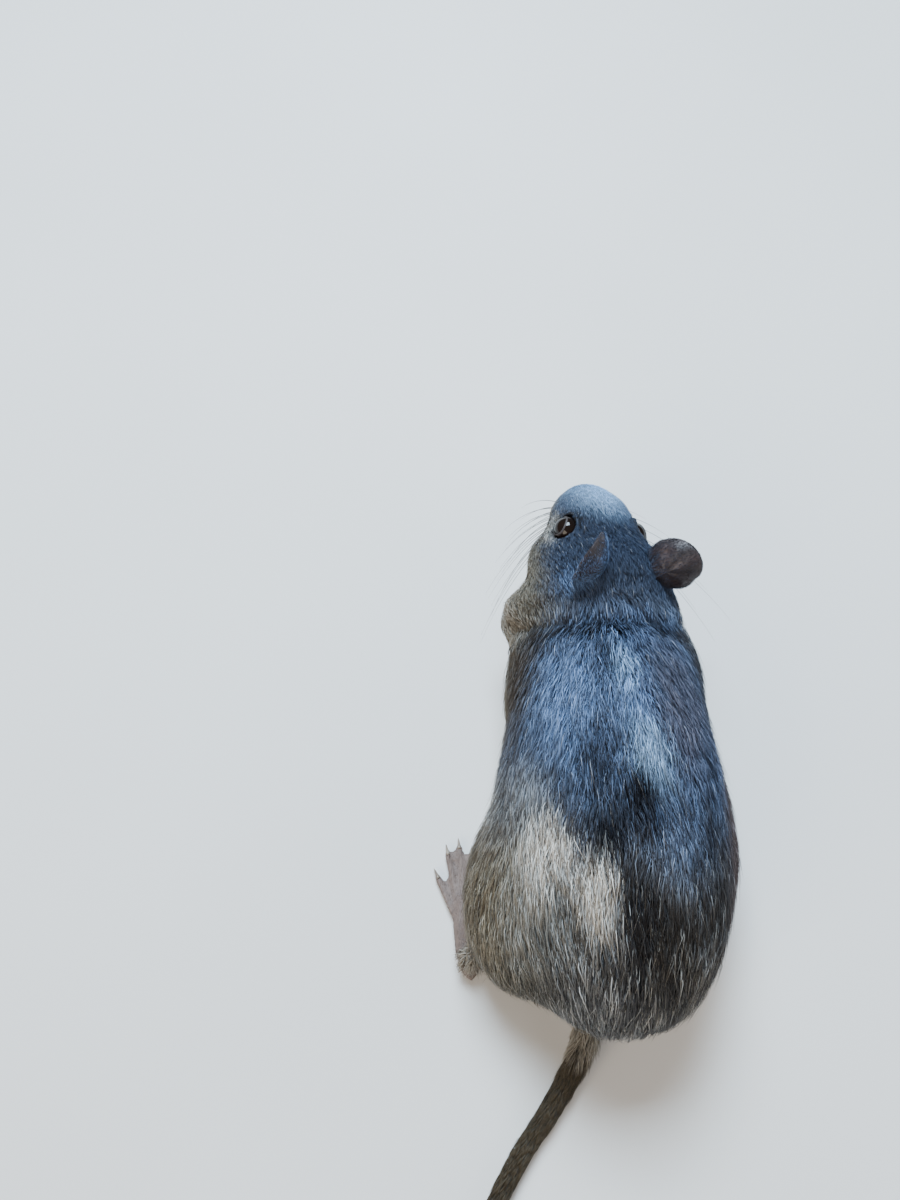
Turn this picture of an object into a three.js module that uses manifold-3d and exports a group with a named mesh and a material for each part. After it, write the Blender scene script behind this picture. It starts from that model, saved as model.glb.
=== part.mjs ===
// A degu, life size and still: on all fours, hind feet flat, head low and rolled to its right.
// Millimetres. The animal faces -Y, +X is its left side, +Z is up, and the floor is z = 0. At the end
// the whole is slid along the floor, so that the middle of its footprint is the origin.
// The flesh is one smooth field, cut where a person names its parts. It reaches to the tips of the coat.
import * as THREE from "three";
import { mergeVertices } from "three/addons/utils/BufferGeometryUtils.js";
import Module from "manifold-3d";

const wasm = await Module();
wasm.setup();

// Driving dimensions
const GAP = 0.3; // between neighbouring pieces
const HIP_WIDTH = 71; // across both haunches, coat included
const SHOULDER_WIDTH = 53;
const BACK_HEIGHT = 60; // the highest point of the back
const RUMP_Y = 67; // the rearmost point of the rump
const BELLY_Z = 7; // clearance under the belly

const HEAD_CENTRE = [-5.2, -51, 32.5]; // middle of the braincase
const HEAD_PITCH = 10; // degrees, nose down
const HEAD_ROLL = 20; // degrees, crown leaning to the animal's right
const HEAD_YAW = 9; // degrees, nose towards the animal's left
const HEAD_HALF_WIDTH = 17.4; // at the cheeks
const NOSE_REACH = 32; // from the middle of the braincase to the tip of the nose
const EYE_RADIUS = 3.8;
const EYE_PLACE = [9.9, -12.6, 3]; // in the head's own axes, left side
const EAR_HEIGHT = 15;
const EAR_WIDTH = 14.5;
const EAR_PLACE = [10.6, 3.2, 8.2]; // where the ear's stem leaves the head, left side
const EAR_THICK = 0.9;

const HIND_FOOT = 34; // heel to the tip of the longest toe
const FORE_FOOT = 13;
const TAIL_RADIUS = 3.7; // at the root, coat included
const TAIL_TIP_RADIUS = 2.2;

// Fields: a function of x, y, z that is negative inside
function ellipsoid([cx, cy, cz], [rx, ry, rz], turnZ = 0) {
  const c = Math.cos(THREE.MathUtils.degToRad(turnZ));
  const s = Math.sin(THREE.MathUtils.degToRad(turnZ));
  return (x, y, z) => {
    const dx = x - cx;
    const dy = y - cy;
    const u = (dx * c + dy * s) / rx;
    const v = (dy * c - dx * s) / ry;
    const w = (z - cz) / rz;
    const k0 = Math.hypot(u, v, w);
    const k1 = Math.hypot(u / rx, v / ry, w / rz);
    return k1 > 1e-9 ? (k0 * (k0 - 1)) / k1 : -Math.min(rx, ry, rz);
  };
}

// A round bar from a to b whose radius goes from ra to rb.
function bar(a, ra, b, rb) {
  const d = b.map((v, i) => v - a[i]);
  const length2 = d[0] * d[0] + d[1] * d[1] + d[2] * d[2];
  return (x, y, z) => {
    const p = [x - a[0], y - a[1], z - a[2]];
    const along = (p[0] * d[0] + p[1] * d[1] + p[2] * d[2]) / length2;
    const t = Math.min(1, Math.max(0, along));
    return Math.hypot(p[0] - d[0] * t, p[1] - d[1] * t, p[2] - d[2] * t) - (ra + (rb - ra) * t);
  };
}

// The union of fields with a fillet about k deep where they meet.
function blend(k, ...fields) {
  return (x, y, z) => {
    let out = fields[0](x, y, z);
    for (const field of fields.slice(1)) {
      const d = field(x, y, z);
      const h = Math.max(k - Math.abs(out - d), 0) / k;
      out = Math.min(out, d) - (h * h * k) / 4;
    }
    return out;
  };
}

// A field given in a turned frame.
function placed(field, matrix) {
  const e = matrix.clone().invert().elements;
  return (x, y, z) =>
    field(
      e[0] * x + e[4] * y + e[8] * z + e[12],
      e[1] * x + e[5] * y + e[9] * z + e[13],
      e[2] * x + e[6] * y + e[10] * z + e[14],
    );
}

const mirrored = ([x, y, z]) => [-x, y, z];
const bothSides = (make, place, ...rest) => [make(place, ...rest), make(mirrored(place), ...rest)];

// The head, in its own axes: x left, y back, z towards the crown
function headField() {
  const w = HEAD_HALF_WIDTH;
  const n = -NOSE_REACH;
  const skull = blend(
    5,
    ellipsoid([0, 1.5, 0.8], [w - 2.4, 16.2, 11.6]),
    ...bothSides(ellipsoid, [w - 8, -5, -4.8], [8, 12.4, 8.8]),
    ellipsoid([0, n + 16, 1.2], [10.4, 14.5, 8.4]),
    bar([0, n + 17.5, -2], 11, [0, n + 7.5, -3], 7.6),
    bar([0, -2, -7.5], 8, [0, n + 11, -9], 4.3),
  );
  return blend(
    2.5,
    skull,
    ...bothSides(ellipsoid, [3.9, n + 6.6, -4.3], [4.3, 5.6, 4.6]),
    ellipsoid([0, n + 2.6, -1.6], [3.3, 2.7, 2.6]),
  );
}

function headMatrix() {
  const turn = new THREE.Euler(
    THREE.MathUtils.degToRad(HEAD_PITCH),
    THREE.MathUtils.degToRad(-HEAD_ROLL),
    THREE.MathUtils.degToRad(HEAD_YAW),
    "ZXY",
  );
  return new THREE.Matrix4()
    .makeRotationFromEuler(turn)
    .setPosition(new THREE.Vector3(...HEAD_CENTRE));
}
const HEAD = headMatrix();
const inHead = (p) => new THREE.Vector3(...p).applyMatrix4(HEAD).toArray();

// The trunk and limbs, on the floor
const HIP = HIP_WIDTH / 2;
const LEFT_HAUNCH = { centre: [HIP - 16, 33.5, 19], radii: [16, 24, 18.5], turn: 2 };
const RIGHT_HAUNCH = { centre: [-HIP + 16.5, 22, 19], radii: [16.5, 27, 18.5], turn: -4 };
const LEFT_SHOULDER = { centre: [SHOULDER_WIDTH / 2 - 12.5, -23, 20], radii: [8.5, 14, 14], turn: 10 };
const RIGHT_SHOULDER = { centre: [-SHOULDER_WIDTH / 2 + 4, -23, 20], radii: [8.5, 14, 14], turn: -10 };
const lump = ({ centre, radii, turn }) => ellipsoid(centre, radii, turn);

function bodyField() {
  const barrel = BACK_HEIGHT / 2;
  const trunk = blend(
    12,
    ellipsoid([-4.2, -22, 27], [SHOULDER_WIDTH / 2 - 3.5, 20, 21]),
    ellipsoid([-3.5, 6, barrel + 1], [27, 36, barrel - 1.5]),
    ellipsoid([-2.2, RUMP_Y - 34, barrel], [27.6, 34, barrel - 2.5]),
    ellipsoid([-1, 12, BELLY_Z + 17], [26, 38, 17]),
  );
  const limbs = blend(7, trunk, ...[LEFT_HAUNCH, RIGHT_HAUNCH, LEFT_SHOULDER, RIGHT_SHOULDER].map(lump));
  const legs = blend(4, limbs, ...lowerLimbs());
  const neck = blend(6, legs, ellipsoid([-2.6, -38, 26], [25.5, 16, 18.5]));
  return blend(4.5, neck, placed(headField(), HEAD));
}

// A field made into a closed faceted solid
// One vertex for each grid cell that the surface passes through, moved onto the surface, and one
// face of four corners for each grid edge that it crosses.
function solidOf(field, low, high, cell) {
  const n = low.map((v, i) => Math.ceil((high[i] - v) / cell) + 1);
  const at = (i, j, k) => i + n[0] * (j + n[1] * k);
  const value = new Float32Array(n[0] * n[1] * n[2]);
  for (let k = 0; k < n[2]; k++)
    for (let j = 0; j < n[1]; j++)
      for (let i = 0; i < n[0]; i++) {
        const rim = [i, j, k].some((v, axis) => v === 0 || v === n[axis] - 1);
        const d = field(low[0] + i * cell, low[1] + j * cell, low[2] + k * cell);
        value[at(i, j, k)] = rim ? Math.max(d, cell / 4) : d || 1e-6;
      }
  const vertexOf = new Map();
  const positions = [];
  const corner = [0, 1].flatMap((c) => [0, 1].flatMap((b) => [0, 1].map((a) => [a, b, c])));
  const edges = corner.flatMap((p) =>
    [0, 1, 2].filter((axis) => !p[axis]).map((axis) => [p, p.map((v, i) => v + (i === axis))]),
  );
  for (let k = 0; k < n[2] - 1; k++)
    for (let j = 0; j < n[1] - 1; j++)
      for (let i = 0; i < n[0] - 1; i++) {
        const sum = [0, 0, 0];
        let crossings = 0;
        for (const [p, q] of edges) {
          const a = value[at(i + p[0], j + p[1], k + p[2])];
          const b = value[at(i + q[0], j + q[1], k + q[2])];
          if (a < 0 === b < 0) continue;
          const t = a / (a - b);
          for (let axis = 0; axis < 3; axis++) sum[axis] += p[axis] + (q[axis] - p[axis]) * t;
          crossings++;
        }
        if (!crossings) continue;
        vertexOf.set(at(i, j, k), positions.length / 3);
        const whole = [i, j, k].map((v, axis) => low[axis] + (v + sum[axis] / crossings) * cell);
        positions.push(...onSurface(field, whole, cell / 3));
      }
  const triangles = [];
  const steps = [1, n[0], n[0] * n[1]];
  for (let k = 0; k < n[2] - 1; k++)
    for (let j = 0; j < n[1] - 1; j++)
      for (let i = 0; i < n[0] - 1; i++)
        for (let axis = 0; axis < 3; axis++) {
          const here = at(i, j, k);
          const a = value[here];
          const b = value[here + steps[axis]];
          if (a < 0 === b < 0) continue;
          const u = steps[(axis + 1) % 3];
          const v = steps[(axis + 2) % 3];
          const ring = [here, here - u, here - u - v, here - v].map((c) => vertexOf.get(c));
          if (a < 0) ring.reverse();
          triangles.push(ring[0], ring[2], ring[1], ring[0], ring[3], ring[2]);
        }
  return solidFrom(new Float32Array(positions), new Uint32Array(triangles));
}

// Moves a point down the field's slope onto its surface, by no more than reach.
function onSurface(field, p, reach) {
  const out = [...p];
  const h = 0.05;
  for (let round = 0; round < 3; round++) {
    const d = field(...out);
    const slope = [0, 1, 2].map((axis) => {
      const q = [...out];
      q[axis] += h;
      return (field(...q) - d) / h;
    });
    const size = Math.max(Math.hypot(...slope), 0.3);
    for (let axis = 0; axis < 3; axis++) out[axis] -= (d * slope[axis]) / (size * size);
  }
  return out.map((v, axis) => Math.min(p[axis] + reach, Math.max(p[axis] - reach, v)));
}

// Solids from geometry, and back
function solidFrom(vertProperties, triVerts) {
  return new wasm.Manifold(new wasm.Mesh({ numProp: 3, vertProperties, triVerts }));
}

function solid(geometry) {
  const bare = geometry.clone();
  bare.deleteAttribute("normal");
  bare.deleteAttribute("uv");
  const merged = mergeVertices(bare, 1e-4);
  return solidFrom(new Float32Array(merged.attributes.position.array), new Uint32Array(merged.index.array));
}

function largest(piece) {
  return piece.decompose().reduce((best, p) => (p.volume() > best.volume() ? p : best));
}

const DRAW = 0.06; // share of the way to the neighbours' mean

// Where two corners of a solid sit at one point, each is drawn a little towards its own neighbours.
function drawApart(vertProperties, triVerts) {
  const keyOf = (v) => vertProperties.subarray(3 * v, 3 * v + 3).join();
  const shared = new Map();
  for (let v = 0; v < vertProperties.length / 3; v++) {
    const same = shared.get(keyOf(v)) ?? [];
    shared.set(keyOf(v), [...same, v]);
  }
  const before = vertProperties.slice();
  for (const v of [...shared.values()].filter((same) => same.length > 1).flat()) {
    const around = new Set();
    for (let t = 0; t < triVerts.length; t += 3) {
      const corners = [...triVerts.subarray(t, t + 3)];
      if (corners.includes(v)) corners.forEach((c) => around.add(c));
    }
    around.delete(v);
    for (let axis = 0; axis < 3; axis++) {
      const mean = [...around].reduce((sum, c) => sum + before[3 * c + axis], 0) / around.size;
      vertProperties[3 * v + axis] += (mean - before[3 * v + axis]) * DRAW;
    }
  }
}

function geometryOf(piece) {
  const { vertProperties, triVerts } = piece.getMesh();
  drawApart(vertProperties, triVerts);
  const geometry = new THREE.BufferGeometry();
  geometry.setAttribute("position", new THREE.BufferAttribute(new Float32Array(vertProperties), 3));
  geometry.setIndex(new THREE.BufferAttribute(new Uint32Array(triVerts), 1));
  geometry.computeVertexNormals();
  return geometry;
}

// The largest body of a piece, without detail finer than a facet.
function tidied(piece) {
  return largest(piece.simplify(FACET));
}

const ball = ({ centre, radii, turn = 0 }, grow = 0, sides = 20) =>
  solid(
    new THREE.SphereGeometry(1, sides, Math.ceil(sides * 0.6))
      .scale(...radii.map((r) => r + grow))
      .rotateZ(THREE.MathUtils.degToRad(turn))
      .translate(...centre),
  );

const block = (low, high) =>
  new THREE.BoxGeometry(...high.map((v, i) => v - low[i])).translate(
    ...high.map((v, i) => (v + low[i]) / 2),
  );

// Rings of points, each closed on itself, joined into one skin with a middle point at each end.
function skinned(rings, first, last) {
  const sides = rings[0].length;
  const positions = [...rings.flat(2), ...first, ...last];
  const head = rings.length * sides;
  const triangles = [];
  for (let i = 0; i < rings.length - 1; i++)
    for (let j = 0; j < sides; j++) {
      const a = i * sides + j;
      const b = i * sides + ((j + 1) % sides);
      triangles.push(a, b, b + sides, a, b + sides, a + sides);
    }
  for (let j = 0; j < sides; j++) {
    const next = (j + 1) % sides;
    const lastRing = head - sides;
    triangles.push(head, next, j, head + 1, lastRing + j, lastRing + next);
  }
  const made = solidFrom(new Float32Array(positions), new Uint32Array(triangles));
  if (made.volume() > 0) return made;
  return solidFrom(new Float32Array(positions), new Uint32Array(triangles.reverse()));
}

// Feet, in their own axes: x to the animal's left, y towards the heel, the sole on the floor
const HIND = { size: HIND_FOOT, width: 8.6, ankle: 8.5, reach: [0.7, 0.93, 1, 0.96, 0.78], claw: 2.8 };
const FORE = { size: FORE_FOOT, width: 6.4, ankle: 6.5, reach: [0.84, 1, 0.98, 0.8], claw: 2.2 };
const FEET = {
  hind_foot_left: { ...HIND, heel: [32.5, 51], turn: 5, side: 1 },
  hind_foot_right: { ...HIND, heel: [-27, 42], turn: -6, side: -1 },
  fore_foot_left: { ...FORE, heel: [13.5, -36], turn: 8, side: 1 },
  fore_foot_right: { ...FORE, heel: [-19, -30], turn: -8, side: -1 },
};
const TOE_RADIUS = 1.15;
const TOE_SPREAD = 1.5; // how far the toes' tips stand apart, in shares of the foot's width

function toeLines({ size, width, reach, side }) {
  return reach.map((share, i) => {
    const across = side * width * (i / (reach.length - 1) - 0.5);
    return { root: [across * 0.6, -size * 0.45, 1.9], tip: [across * TOE_SPREAD, -size * share, 1.2] };
  });
}

function footMatrix({ heel, turn }) {
  return new THREE.Matrix4().makeRotationZ(THREE.MathUtils.degToRad(turn)).setPosition(heel[0], heel[1], 0);
}

function claw(foot, { root, tip }) {
  const along = new THREE.Vector3(...tip).sub(new THREE.Vector3(...root)).setZ(0).normalize();
  const turn = new THREE.Quaternion().setFromUnitVectors(new THREE.Vector3(0, 1, 0), along);
  const middle = new THREE.Vector3(...tip).addScaledVector(along, foot.claw * 0.55).setZ(0.95);
  const cone = new THREE.ConeGeometry(0.75, foot.claw * 1.4, 4).applyQuaternion(turn);
  return solid(cone.translate(...middle).applyMatrix4(footMatrix(foot)));
}

const grown = (field, by) => (x, y, z) => field(x, y, z) - by;
const ABOVE_FLOOR = solid(block([-80, -120, 0], [80, 200, 90]));

// A geometry whose length lies on the y axis, laid from a to b.
function laid(a, b, make) {
  const along = new THREE.Vector3(...b).sub(new THREE.Vector3(...a));
  const turn = new THREE.Quaternion();
  turn.setFromUnitVectors(new THREE.Vector3(0, 1, 0), along.clone().normalize());
  const middle = new THREE.Vector3(...a).addScaledVector(along, 0.5);
  return make(along.length()).applyQuaternion(turn).translate(...middle);
}

// A round-ended bar from a to b.
function capsule(a, b, radius, sides = 5) {
  return laid(a, b, (length) => new THREE.CapsuleGeometry(radius, length, 2, sides));
}

// Sole, toes and ankle as one solid, all grown by the same amount.
function footSolid(foot, grow) {
  const { size, width, ankle } = foot;
  const sole = new THREE.SphereGeometry(1, 9, 5)
    .scale(width * 0.46 + grow, size * 0.34 + grow, 3 + grow)
    .translate(0, -size * 0.31, 2.4);
  const stem = capsule([0, -width * 0.45, 4], [0, -width * 0.6, ankle], width * 0.36 + grow, 8);
  const toes = toeLines(foot).map(({ root, tip }) => capsule(root, tip, TOE_RADIUS + grow));
  const place = footMatrix(foot);
  const forms = [sole, stem, ...toes].map((geometry) => solid(geometry.applyMatrix4(place)));
  return forms.reduce((whole, one) => whole.add(one));
}

// Ears: a cupped disc, open outwards and forwards, narrow at the stem
const EAR_UP = new THREE.Vector3(0.36, 0.24, 0.9).normalize();
const EAR_FACING = new THREE.Vector3(0.74, -0.62, 0);
const EAR_CUP = 3.6; // how deep the cup is
const EAR_SUNK = 2.5; // how far the stem goes into the head
const EAR_SIDES = 16;
const EAR_RINGS = [0.35, 0.7, 1];

function ear(side) {
  const up = EAR_UP.clone();
  const facing = EAR_FACING.clone().addScaledVector(up, -EAR_FACING.dot(up)).normalize();
  const across = new THREE.Vector3().crossVectors(up, facing);
  const stem = new THREE.Vector3(...EAR_PLACE);
  const point = (share, angle, offset) => {
    const height = EAR_HEIGHT + EAR_SUNK;
    const rise = height * 0.5 * (1 + share * Math.sin(angle)) - EAR_SUNK;
    const low = Math.max(0, -Math.sin(angle)) * share;
    const half = EAR_WIDTH * 0.5 * share * (1 - 0.35 * low);
    const p = stem
      .clone()
      .addScaledVector(up, rise)
      .addScaledVector(across, half * Math.cos(angle))
      .addScaledVector(facing, offset - EAR_CUP * (1 - share * share));
    p.x *= side;
    return p.applyMatrix4(HEAD).toArray();
  };
  const ring = (share, offset) =>
    Array.from({ length: EAR_SIDES }, (_, j) => point(share, (j / EAR_SIDES) * 2 * Math.PI, offset));
  const front = EAR_RINGS.map((share) => ring(share, EAR_THICK / 2));
  const back = EAR_RINGS.map((share) => ring(share, -EAR_THICK / 2)).reverse();
  return skinned([...front, ...back], point(0, 0, EAR_THICK / 2), point(0, 0, -EAR_THICK / 2));
}

// The tail: out of the rump, down to the floor and along it, in an easy curve
const TAIL_ROUTE = new THREE.CatmullRomCurve3(
  [
    [2, 57],
    [5, 68],
    [12, 80],
    [21, 92],
    [28.5, 105],
    [33.5, 120],
    [34.5, 136],
    [31.5, 151],
    [25.5, 165],
  ].map(([x, y]) => new THREE.Vector3(x, y, 0)),
);
const TAIL_FLAT = 0.25; // how much the floor takes off its underside
const TAIL_ROOT_RISE = 9; // height of the root above where it would lie on the floor
const TAIL_LANDS = 0.2; // share of the length at which it reaches the floor
const TUFT_START = 0.82;
const TAIL_STEPS = 7; // rings in each length
const TAIL_SIDES = 8;
const TAIL_GAP = 0.0025; // between two lengths, as a share of the route
const TAIL_SUNK = 0.015; // where the tail begins, inside the rump

function tailRadius(t) {
  const plain = THREE.MathUtils.lerp(TAIL_RADIUS, TAIL_TIP_RADIUS, Math.min(1, t / TUFT_START));
  const along = Math.max(0, (t - TUFT_START) / (1 - TUFT_START));
  return plain * (1 + 0.75 * Math.sin(Math.PI * Math.min(1, along * 1.15))) * (1 - 0.75 * along ** 3);
}

function tailCentre(t) {
  const p = TAIL_ROUTE.getPointAt(Math.min(1, Math.max(0, t)));
  const lift = Math.max(0, 1 - t / TAIL_LANDS);
  p.z = tailRadius(t) - TAIL_FLAT + TAIL_ROOT_RISE * lift * lift;
  return p;
}

function tailLength(from, to, grow = 0) {
  const steps = TAIL_STEPS;
  const sides = TAIL_SIDES;
  const rings = [];
  for (let i = 0; i <= steps; i++) {
    const t = THREE.MathUtils.lerp(from, to, i / steps);
    const along = tailCentre(t + 0.01).sub(tailCentre(t - 0.01)).normalize();
    const across = new THREE.Vector3(-along.y, along.x, 0).normalize();
    const up = new THREE.Vector3().crossVectors(along, across);
    rings.push(
      Array.from({ length: sides }, (_, j) => {
        const a = ((j + 0.5) / sides) * 2 * Math.PI;
        const radius = tailRadius(t) + grow;
        return tailCentre(t)
          .addScaledVector(across, radius * Math.cos(a))
          .addScaledVector(up, radius * Math.sin(a))
          .toArray();
      }),
    );
  }
  return skinned(rings, tailCentre(from).toArray(), tailCentre(to).toArray()).intersect(ABOVE_FLOOR);
}

// The whole animal, cut into its pieces
const TRUNK_CELL = 7.45;
const HEAD_CELL = 3.3;
const NECK_BACK = -32; // where the neck meets the chest
const CHEST_BACK = -4;
const LOIN_BACK = 24;
const HEAD_BACK = 10.5; // in the head's own axes: the cut behind the ears
const FACET = 0.15; // detail finer than this is left out
const CHIN = -17; // in the head's own axes: below this it is throat and neck
const LUMP_REACH = 4; // how far a thigh's or upper arm's cut runs past its own form

const pieces = {};

function carve(rest, name, region, regionGrown) {
  pieces[name] = largest(rest.intersect(region));
  return rest.subtract(regionGrown);
}

function slab(from, to) {
  return [0, GAP].map((grow) => solid(block([-90, from - grow, -20], [90, to + grow, 110])));
}

function limbRegion(limb, grow) {
  return [grow, grow + GAP].map((by) => ball(limb, by, 11));
}

function rod(a, b, radius) {
  const cylinder = (by) => (length) => new THREE.CylinderGeometry(radius + by, radius + by, length + 2 * by, 12);
  return [0, GAP].map((by) => solid(laid(a, b, cylinder(by))));
}

const LEFT_ELBOW = [18, -19, 14];
const RIGHT_ELBOW = [-22, -15, 14];
const LEFT_KNEE = [23.5, 24, 14];
const RIGHT_KNEE = [-25, 16, 14];
const wrist = ({ heel }) => [heel[0], heel[1] - 2.5, 7];
const hock = ({ heel }) => [heel[0] - Math.sign(heel[0]), heel[1] - 3.5, 8];
const FOREARM = [6, 4]; // radii at the elbow and the wrist
const SHANK = [8, 4.6]; // radii at the knee and the hock

const LIMB_LINES = {
  forearm_left: [LEFT_ELBOW, wrist(FEET.fore_foot_left), FOREARM],
  forearm_right: [RIGHT_ELBOW, wrist(FEET.fore_foot_right), FOREARM],
  shank_left: [LEFT_KNEE, hock(FEET.hind_foot_left), SHANK],
  shank_right: [RIGHT_KNEE, hock(FEET.hind_foot_right), SHANK],
};
const LIMB_LUMPS = {
  thigh_left: LEFT_HAUNCH,
  thigh_right: RIGHT_HAUNCH,
  upper_arm_left: LEFT_SHOULDER,
  upper_arm_right: RIGHT_SHOULDER,
};

function lowerLimbs() {
  return Object.values(LIMB_LINES).map(([a, b, [ra, rb]]) => bar(a, ra, b, rb));
}

function limbRegions() {
  const lines = Object.entries(LIMB_LINES).map(([name, [a, b, [ra]]]) => [name, rod(a, b, ra)]);
  const lumps = Object.entries(LIMB_LUMPS).map(([name, limb]) => [name, limbRegion(limb, LUMP_REACH)]);
  return [...lines, ...lumps];
}

function build() {
  const body = bodyField();
  const feet = Object.entries(FEET);
  for (const [name, foot] of feet) {
    const claws = toeLines(foot).map((line) => claw(foot, line));
    const clawed = claws.reduce((whole, one) => whole.add(one), footSolid(foot, 0));
    pieces[name] = largest(clawed.intersect(ABOVE_FLOOR));
  }
  const tailCuts = [TAIL_SUNK, 0.28, 0.55, TUFT_START, 1];
  ["tail_base", "tail_middle", "tail_end", "tail_tuft"].forEach((name, i) => {
    pieces[name] = tailLength(tailCuts[i] + TAIL_GAP, tailCuts[i + 1]);
  });

  const eyes = [1, -1].map((side) => inHead([side * EYE_PLACE[0], EYE_PLACE[1], EYE_PLACE[2]]));
  const eyeBall = (centre, by) => ball({ centre, radii: [EYE_RADIUS, EYE_RADIUS, EYE_RADIUS] }, by, 10);
  [pieces.eye_left, pieces.eye_right] = eyes.map((centre) => eyeBall(centre, 0));

  const [hx, hy, hz] = HEAD_CENTRE;
  const headCut = [0, GAP].map((by) =>
    solid(block([-40, -50, CHIN - by], [40, HEAD_BACK + by, 40]).applyMatrix4(HEAD)),
  );
  const headHigh = [hx + 24, hy + 22, hz + 22];
  const head = solidOf(body, [hx - 24, hy - 38, hz - 26], headHigh, HEAD_CELL);
  const sockets = eyes.map((centre) => eyeBall(centre, GAP));
  const wholeHead = head.intersect(headCut[0]);
  pieces.head = largest(sockets.reduce((rest, socket) => rest.subtract(socket), wholeHead));
  const headGrown = solidOf(grown(body, GAP), [hx - 24, hy - 20, hz - 16], headHigh, HEAD_CELL);
  pieces.ear_left = largest(ear(1).subtract(headGrown));
  pieces.ear_right = largest(ear(-1).subtract(headGrown));

  let rest = solidOf(body, [-46, -80, -4], [46, 78, 70], TRUNK_CELL);
  rest = rest.intersect(ABOVE_FLOOR).subtract(headCut[1]);
  for (const [, foot] of feet) rest = rest.subtract(footSolid(foot, 1.5 * GAP));
  rest = rest.subtract(tailLength(0, tailCuts[1], 2 * GAP));
  for (const [name, limb] of limbRegions()) rest = carve(rest, name, ...limb);
  rest = carve(rest, "neck", ...slab(-90, NECK_BACK));
  rest = carve(rest, "chest", ...slab(NECK_BACK + GAP, CHEST_BACK));
  rest = carve(rest, "loin", ...slab(CHEST_BACK + GAP, LOIN_BACK));
  pieces.rump = largest(rest);
}

// Finishes
const COAT = { color: 0x5c6678, roughness: 0.85, metalness: 0 };
const RUMP_COAT = { color: 0x8d867a, roughness: 0.85, metalness: 0 };
const TAIL_COAT = { color: 0x4a4438, roughness: 0.8, metalness: 0 };
const BARE_EAR = { color: 0x4d3f42, roughness: 0.6, metalness: 0 };
const BARE_FOOT = { color: 0x8a6e66, roughness: 0.6, metalness: 0 };
const EYE = { color: 0x0d0b0a, roughness: 0.08, metalness: 0 };

function finishOf(name) {
  if (name.startsWith("eye")) return EYE;
  if (name.startsWith("ear")) return BARE_EAR;
  if (name.includes("foot")) return BARE_FOOT;
  if (name.startsWith("tail")) return TAIL_COAT;
  return /rump|thigh|shank/.test(name) ? RUMP_COAT : COAT;
}

function degu() {
  build();
  const animal = new THREE.Group();
  for (const [name, piece] of Object.entries(pieces)) {
    const mesh = new THREE.Mesh(geometryOf(tidied(piece)), new THREE.MeshStandardMaterial(finishOf(name)));
    mesh.name = name;
    animal.add(mesh);
  }
  const box = new THREE.Box3().setFromObject(animal);
  const middle = box.getCenter(new THREE.Vector3());
  animal.position.set(-middle.x, -middle.y, -box.min.z);
  return animal;
}

export default degu();
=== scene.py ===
# A degu, still and life size, in its coat.
# Metres; the animal faces -Y, +X is its left and the floor is z = 0.
import math

import bmesh
import bpy
import numpy as np
from mathutils import Euler, Matrix, Vector
from mathutils.bvhtree import BVHTree


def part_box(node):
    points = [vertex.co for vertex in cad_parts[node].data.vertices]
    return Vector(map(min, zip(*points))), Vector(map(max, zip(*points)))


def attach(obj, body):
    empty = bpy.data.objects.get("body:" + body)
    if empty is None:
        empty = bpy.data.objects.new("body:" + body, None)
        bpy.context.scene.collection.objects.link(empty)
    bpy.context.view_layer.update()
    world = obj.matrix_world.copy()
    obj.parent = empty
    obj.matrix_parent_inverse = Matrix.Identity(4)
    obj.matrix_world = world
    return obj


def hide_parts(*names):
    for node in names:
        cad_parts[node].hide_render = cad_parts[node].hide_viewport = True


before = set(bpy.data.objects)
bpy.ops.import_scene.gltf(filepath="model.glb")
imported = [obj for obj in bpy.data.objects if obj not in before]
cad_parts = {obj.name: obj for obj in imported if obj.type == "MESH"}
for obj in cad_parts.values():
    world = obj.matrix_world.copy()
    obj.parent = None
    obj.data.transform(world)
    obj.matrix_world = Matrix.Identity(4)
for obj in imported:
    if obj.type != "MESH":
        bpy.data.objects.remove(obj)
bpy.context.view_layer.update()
MM = 0.001
SEED = 7

# The head's own axes, in millimetres from the middle of the braincase:
# x to its left, y back and z towards the crown.
HEAD_CENTRE = (-5.2, -51, 32.5)
HEAD_TURN = Euler((math.radians(10), math.radians(-20), math.radians(9)), "YXZ")
NOSE_REACH = 32
NOSE_PAD = (2.5, 1.1, 1.8)
NOSE_HEIGHT = -1.8
EYE_PLACE = (9.9, -12.6, 3.0)
EYE_RADIUS = 3.8
EYE_SET_BACK = -0.4
EYE_OUT = (0.9, -0.36, 0.24)  # the way the left eye looks

BODY_FLESH = ["head", "neck", "chest", "loin", "rump"]
LIMB_FLESH = [
    part + side
    for part in ("upper_arm", "forearm", "fore_foot", "thigh", "shank", "hind_foot")
    for side in ("_left", "_right")
]
TAIL_FLESH = ["tail_base", "tail_middle", "tail_end", "tail_tuft"]
SIDES = (("left", 1), ("right", -1))


def head_matrix():
    """From the head's axes to the frame the sizes below are given in, in millimetres."""
    roll_pitch_yaw = (
        Matrix.Rotation(HEAD_TURN.z, 3, "Z")
        @ Matrix.Rotation(HEAD_TURN.x, 3, "X")
        @ Matrix.Rotation(HEAD_TURN.y, 3, "Y")
    )
    return Matrix.Translation(HEAD_CENTRE) @ roll_pitch_yaw.to_4x4()


HEAD = head_matrix()
HEAD_INVERSE = np.array(HEAD.inverted())


def middle_of(node):
    low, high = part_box(node)
    return (Vector(low) + Vector(high)) / 2


# Design sizes are given from a point on the spine's line.
# The part's origin is the middle of its footprint, and SHIFT leads from one to the other.
SHIFT = np.array(middle_of("eye_left") / MM - HEAD @ Vector(EYE_PLACE))


def to_design(points):
    return points / MM - SHIFT


def to_part(points):
    return (np.asarray(points, dtype=float) + SHIFT) * MM


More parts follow.
